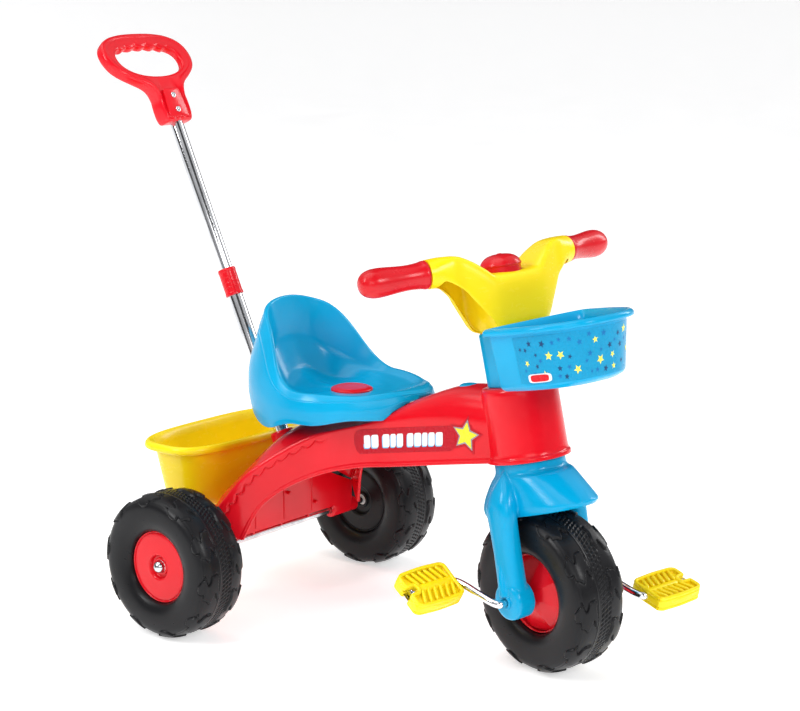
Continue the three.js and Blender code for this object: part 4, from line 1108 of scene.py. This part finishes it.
def seat():
    section = [(4, 6, 1, 0, 0, 0), (30, 45, 1, 0, 0, 0), (60, 74, 0.9, 0.1, 0, 0),
               (88, 106, 0.5, 0.5, 0, 0), (99, 117, 0, 1, 0, 0), (104.5, 122.5, 0, 1, 0, 0),
               (109.4, 128.2, 0, 0.81, 0.19, 0),
               (109.0, 127.8, 0, 0.785, 0.215, 0), (109.8, 128.8, 0, 0.76, 0.24, 0),
               (112, 132, 0, 0.42, 0.58, 0), (110.2, 128.5, 0, 0.12, 0.88, 0), (107, 125, 0, 0, 1, 0),
               (104, 122, 0, 0, 1, 0), (105.5, 124, 0, 0.1, 0.9, 0), (107, 125, 0, 0.4, 0.6, 0),
               (105, 123.5, 0, 0.74, 0.26, 0), (99.5, 117.5, 0, 1, 0, -6), (89.5, 108.5, 0.54, 0.46, 0, -4),
               (60, 76, 0.92, 0.08, 0, -4), (4, 6, 1, 0, 0, -4)]
    radii = [0, 12, 16, 14, 3.2, 3.2, 0.7, 0.6, 0.7, 14, 9, 2.5, 0.8, 3, 10, 8, 4, 8, 8, 0]
    # the mix counts a hundredfold, so that the corners are rounded as in millimetres
    weight = np.array([1, 1, 100, 100, 100, 1.0])
    rings = [seat_ring(*(p / weight)) for p in soften([np.array(p) * weight for p in section], radii, 5)]
    obj = piece("seat_shell", loft(rings), HOME, BLUE, "body", ["seat"], angle=50)
    carved(obj, piece("beam_cutter", beam_solid(), HOME, BLUE, "body", angle=0))
    knob = lathe([(0.01, 2.2), (20, 2.1), (25.5, 1.5), (28.6, 0.2), (29, -1), (29, -4.5), (0.01, -4.5)], 96,
                 [0, 4, 3, 1, 0.5, 0.5, 0])
    ring_mark = lathe([(21.5, 2.0), (22.1, 2.5), (22.9, 1.9)], 96, 0.2)
    piece("seat_inset", merged(knob, ring_mark), HOME @ Matrix.Translation((0, -0.140, 0.326)), RED, "body",
          ["seat_knob"])


# ---------------------------------------------------------------- bucket
def bucket():
    # half width, half depth, power, height
    wall = [(1, 1, 2.2, 138), (98, 36, 3, 138), (105, 43, 3, 140), (113, 47, 3, 147), (129, 56.5, 3.1, 222),
            (130, 57.5, 3.2, 224.4), (142, 65.5, 3.2, 224.4), (144, 67, 3.2, 226.5), (144, 67, 3.2, 231.5),
            (141, 64, 3.2, 235.6), (137, 61, 3.2, 236), (131.5, 56.8, 3.2, 232), (127.5, 53.8, 3.2, 225),
            (110, 44, 3, 149), (101, 39, 3, 141.6), (1, 1, 2.2, 141.6)]
    radii = [0, 4, 4, 6, 2, 1.2, 1.5, 1.8, 2.5, 2.2, 2.2, 3, 4, 6, 4, 0]
    rings = [plan_ring(hx, hy, power, 92, z, 144) for hx, hy, power, z in soften(wall, radii, 4)]
    piece("bucket_tub", loft(rings), HOME, YELLOW, "bucket", ["bucket"])


# ---------------------------------------------------------------- push bar
def push_bar():
    low = lathe([(9.9, 6.3), (10.6, 6.3), (10.8, 6.8), (10.8, 282), (9.9, 282), (9.9, 6.3)], 72, 0.2)
    piece("bar_tube_lower", low, BAR, CHROME, "push_bar", ["push_bar_lower"])
    top = lathe([(8.2, 224), (9.6, 224), (9.6, 576), (8.2, 576), (8.2, 224)], 72, 0.2)
    piece("bar_tube_upper", top, BAR, CHROME, "push_bar", ["push_bar_upper"])
    collar = [(11.1, 264), (12.8, 264), (13.2, 264.6), (13.2, 268), (12.7, 268.8), (12.7, 298.6),
              (13.1, 299.4), (13.1, 302.4), (12.4, 304), (9.9, 304), (9.9, 264.2), (11.1, 264)]
    parts = [lathe(collar, 72, 0.4)]
    for z in (276, 283, 290):
        parts.append(lathe([(12.6, z - 1.2), (13.05, z), (12.6, z + 1.2)], 72, 0.3))
    piece("collar_sleeve", merged(*parts), BAR, RED, "push_bar", ["bar_collar"])


HANDLE_RAYS = 300
HANDLE_FOOT = 529  # height of the neck's foot up the bar
GAP_MIDDLE = np.array([0, 104.0])
GRIP_SLOPE = math.radians(18.2)
SLOPE_FROM, SLOPE_TO = 44.0, 70.0  # stretch of the neck where the slope sets in


def by_angle(poly, want):
    """Points where a closed outline meets rays from the gap's middle at the wanted angles."""
    d = poly - GAP_MIDDLE
    th = np.unwrap(np.arctan2(d[:, 1], d[:, 0]))
    if th[-1] < th[0]:
        poly, th = poly[::-1], th[::-1]
    th = np.r_[th, th[0] + 2 * math.pi]
    poly = np.vstack([poly, poly[:1]])
    w = th[0] + (want - th[0]) % (2 * math.pi)
    return np.stack([np.interp(w, th, poly[:, k]) for k in range(2)], 1)


def handle_outlines():
    """Outer outline and gap in x and s, where s runs up the neck and on along the sloping grip."""
    outer = bezier(closed_by_mirror([
        (0, 0), (-8, 0), (-16, 0), (-23, 0), (-27, 3), (-27, 22), (-25.5, 32), (-27, 50), (-35, 57),
        (-52, 67), (-72, 80), (-84, 90), (-84, 112), (-84, 145), (-48, 153), (0, 153)]))
    inner = bezier(closed_by_mirror([
        (0, 73), (-30, 73), (-61, 82), (-61, 106), (-61, 126), (-38, 130), (0, 130)]), 30)
    # more rays where the outline runs down the neck
    t = circle(HANDLE_RAYS)
    want = t + 0.42 * np.sin(t - math.pi) - math.pi / 2
    outer, inner = by_angle(even(outer, 900), want), by_angle(even(inner, 900), want)
    # finger scallops along the top of the gap
    topness = smooth((inner[:, 1] - 113) / 8) * smooth((46 - np.abs(inner[:, 0])) / 6)
    inner[:, 1] -= topness * 3.4 * np.abs(np.cos(inner[:, 0] / 20.0 * math.pi))
    return outer, inner


def sloped(flat):
    """Bends points (x, s, height) back from the neck into the slope of the grip."""
    s, h = flat[..., 1], flat[..., 2]

    def slope_at(run):
        return GRIP_SLOPE * smooth((run - SLOPE_FROM) / (SLOPE_TO - SLOPE_FROM))

    fine = np.linspace(0, 170, 700)
    y = np.r_[0, np.cumsum(np.sin(slope_at(fine)) * fine[1])][:-1]
    z = np.r_[0, np.cumsum(np.cos(slope_at(fine)) * fine[1])][:-1]
    return np.stack([flat[..., 0], np.interp(s, fine, y) - h * np.cos(slope_at(s)),
                     HANDLE_FOOT + np.interp(s, fine, z) + h * np.sin(slope_at(s))], -1)


def handle_limb():
    """Round-edged frame between the outer outline and the gap."""
    outer, inner = handle_outlines()
    length = np.linalg.norm(outer - inner, axis=1)[:, None]
    # distance from the rim, share of the height; then the same from the gap
    from_rim = [(0, 0.46), (0.6, 0.66), (2.0, 0.86), (4.4, 0.97), (6.4, 1.0), (8.4, 0.97), (9.8, 0.86)]
    from_gap = [(7.5, 0.84), (4.5, 0.80), (2.2, 0.70), (0.7, 0.52), (0, 0.30)]
    shares = [(dist / length, level) for dist, level in from_rim]
    shares += [(1 - dist / length, level) for dist, level in from_gap]
    rows = []
    for face in (1, -1):
        for share, level in shares[::face]:
            pts = outer + (inner - outer) * share
            thick = 12.6 - 3.6 * smooth((pts[:, 1] - 44) / 30)
            rows.append(np.column_stack([pts, face * level * thick]))
    return sloped(np.array(rows)).reshape(-1, 3), grid_faces(len(rows), HANDLE_RAYS, wrap_rows=True)


def push_handle():
    obj = piece("handle_shell", handle_limb(), BAR, RED, "push_bar",
                ["push_handle_front", "push_handle_rear"], angle=50)
    sub = obj.modifiers.new("round", "SUBSURF")
    sub.levels = 1
    sub.render_levels = 1
    bumps = [sweep([(x - 3.5, -12.2, 533.5), (x, -12.9, 532.2), (x + 3.5, -12.2, 533.5)], 1.9, 12)
             for x in (-14, -5, 4)]
    piece("handle_scallops", merged(*bumps), BAR, RED, "push_bar")
    pad = [(-19, 6), (19, 6), (18, 28), (15, 50), (-15, 50), (-18, 28), (-19, 6)]
    plate = placed(outline_slab(soften(pad, [0, 3, 8, 5, 5, 8, 0], 4), 5, 1.2),
                   Matrix.Translation((0, -12.4, HANDLE_FOOT)))
    piece("handle_pad", plate, BAR, RED, "push_bar")
    for word, up in (("lower", 546), ("upper", 568)):
        head = lathe([(1.2, 11.6), (4.4, 11.6), (4.4, 13.4), (3.6, 14.6), (1.9, 15.0), (1.8, 14.0),
                      (0.01, 13.8)], 40, [0, 0.3, 0.4, 0.6, 0.2, 0.2, 0])
        at = BAR @ turn("X", 90, (0, 0, up * MM))
        piece(f"screw_{word}", head, at, CHROME, "push_bar", [f"handle_screw_{word}"])


def dress_nodes():
    """Materials for the small nodes that are carried over: plated steel, and white bushes."""
    plated = ("rear_axle", "steering_post", "handlebar_screw")
    for name, obj in frame["nodes"].items():
        obj.data.materials.clear()
        obj.data.materials.append(CHROME if name in plated else WHITE)


wheels()
cranks()
pedal(-1, "right", 33)
pedal(1, "left", 13)
fork()
handlebar()
grips()
horn()
basket_print(basket())
beam_print(frame_body())
seat()
bucket()
push_bar()
push_handle()
dress_nodes()


# ---------------------------------------------------------------- floor, light, camera
def add(name, data):
    obj = bpy.data.objects.new(name, data)
    bpy.context.scene.collection.objects.link(obj)
    return obj


def stage(size=40.0):
    look = Look("floor_pale")
    tone = look.noise(2.5, 2)
    look.colour(tone, (0.95, 0.95, 0.95), (0.965, 0.965, 0.965))
    look.roughness(look.noise(4, 2), 0.24, 0.28)
    look.colour(tone, (0.98, 0.98, 0.98), (1.0, 1.0, 1.0), "Emission Color")
    look.set({"Specular IOR Level": 0.35, "Emission Strength": 0.53})
    mesh = bpy.data.meshes.new("floor")
    corners = [(-size, -size, 0), (size, -size, 0), (size, size, 0), (-size, size, 0)]
    mesh.from_pydata(corners, [], [(0, 1, 2, 3)])
    mesh.materials.append(look.material)
    add("floor", mesh)


def lamp(name, location, size, power):
    """Rectangular area lamp aimed at the middle of the object."""
    data = bpy.data.lights.new(name, "AREA")
    data.shape = "RECTANGLE"
    data.size, data.size_y = size
    data.energy = power
    obj = add(name, data)
    obj.location = location
    obj.rotation_euler = (Vector(MIDDLE) - Vector(location)).to_track_quat("-Z", "Y").to_euler()


def grey_ramp(nodes, stops):
    """Colour ramp of greys; the first and the last stop take the ramp's own two."""
    ramp = nodes.new("ShaderNodeValToRGB")
    ends = ramp.color_ramp.elements[0], ramp.color_ramp.elements[1]
    for stop, (position, shade) in zip(ends, (stops[0], stops[-1])):
        stop.position, stop.color = position, (*shade, 1)
    for position, shade in stops[1:-1]:
        ramp.color_ramp.elements.new(position).color = (*shade, 1)
    return ramp


def sky():
    """White to the camera, a soft gradient with dark panels to everything else."""
    world = bpy.data.worlds.new("studio")
    world.use_nodes = True
    nodes, link = world.node_tree.nodes, world.node_tree.links.new
    nodes.clear()
    out = nodes.new("ShaderNodeOutputWorld")
    seen = nodes.new("ShaderNodeBackground")
    seen.inputs["Color"].default_value = (1, 1, 1, 1)
    light = nodes.new("ShaderNodeBackground")
    coord = nodes.new("ShaderNodeTexCoord")
    split = nodes.new("ShaderNodeSeparateXYZ")
    link(coord.outputs["Generated"], split.inputs[0])
    height = grey_ramp(nodes, [(0.0, (0.22, 0.22, 0.23)), (0.8, (0.80, 0.80, 0.81))])
    link(split.outputs["Z"], height.inputs["Fac"])
    panels = ((0.10, 1.0), (0.14, 0.05), (0.22, 0.05), (0.27, 1.0), (0.52, 1.0), (0.56, 0.1), (0.62, 0.1),
              (0.67, 1.0), (0.86, 1.0), (0.9, 0.1), (0.96, 0.1))
    bands = grey_ramp(nodes, [(at, (shade,) * 3) for at, shade in ((0.0, 1), *panels, (1.0, 1))])
    heading = nodes.new("ShaderNodeMath")
    heading.operation = "ARCTAN2"
    link(split.outputs["Y"], heading.inputs[0])
    link(split.outputs["X"], heading.inputs[1])
    scaled = nodes.new("ShaderNodeMapRange")
    scaled.inputs["From Min"].default_value = -math.pi
    scaled.inputs["From Max"].default_value = math.pi
    link(heading.outputs[0], scaled.inputs["Value"])
    link(scaled.outputs["Result"], bands.inputs["Fac"])
    tint = nodes.new("ShaderNodeMix")
    tint.data_type = "RGBA"
    tint.blend_type = "MULTIPLY"
    tint.inputs["Factor"].default_value = 1.0
    link(height.outputs["Color"], tint.inputs[6])
    link(bands.outputs["Color"], tint.inputs[7])
    link(tint.outputs[2], light.inputs["Color"])
    pick = nodes.new("ShaderNodeMixShader")
    path = nodes.new("ShaderNodeLightPath")
    link(path.outputs["Is Camera Ray"], pick.inputs["Fac"])
    link(light.outputs[0], pick.inputs[1])
    link(seen.outputs[0], pick.inputs[2])
    link(pick.outputs[0], out.inputs["Surface"])
    bpy.context.scene.world = world


MIDDLE = (0, 0, 0.35)
stage()
sky()
lamp("key_left", (-2.4, 0.9, 2.0), (0.6, 1.2), 34)
lamp("key_front", (-0.5, -2.9, 1.9), (0.7, 0.9), 32)
lamp("fill_near", (-2.4, -2.2, 1.5), (1.6, 1.2), 16)
lamp("edge_right", (2.6, -1.0, 1.7), (0.6, 1.6), 24)
sun = bpy.data.lights.new("overhead", "SUN")
sun.energy = 1.0
sun.angle = math.radians(50)
add("overhead", sun).rotation_euler = (math.radians(-14), math.radians(-16), 0)
bpy.context.scene.view_settings.view_transform = "Standard"

camera_data = bpy.data.cameras.new("camera")
camera_data.lens = 86.08
camera_data.sensor_width = 36
camera_data.sensor_fit = "HORIZONTAL"
camera_data.clip_end = 50
camera = add("camera", camera_data)
right = Vector((0.6275, -0.7786, 0)).normalized()
back = Vector((-0.7626, -0.6147, 0.2016)).normalized()
view = Matrix((right, back.cross(right).normalized(), back)).transposed().to_4x4()
view.translation = HOME @ Vector((-1.96130, -1.80596, 0.90075))
camera.matrix_world = view
bpy.context.scene.camera = camera
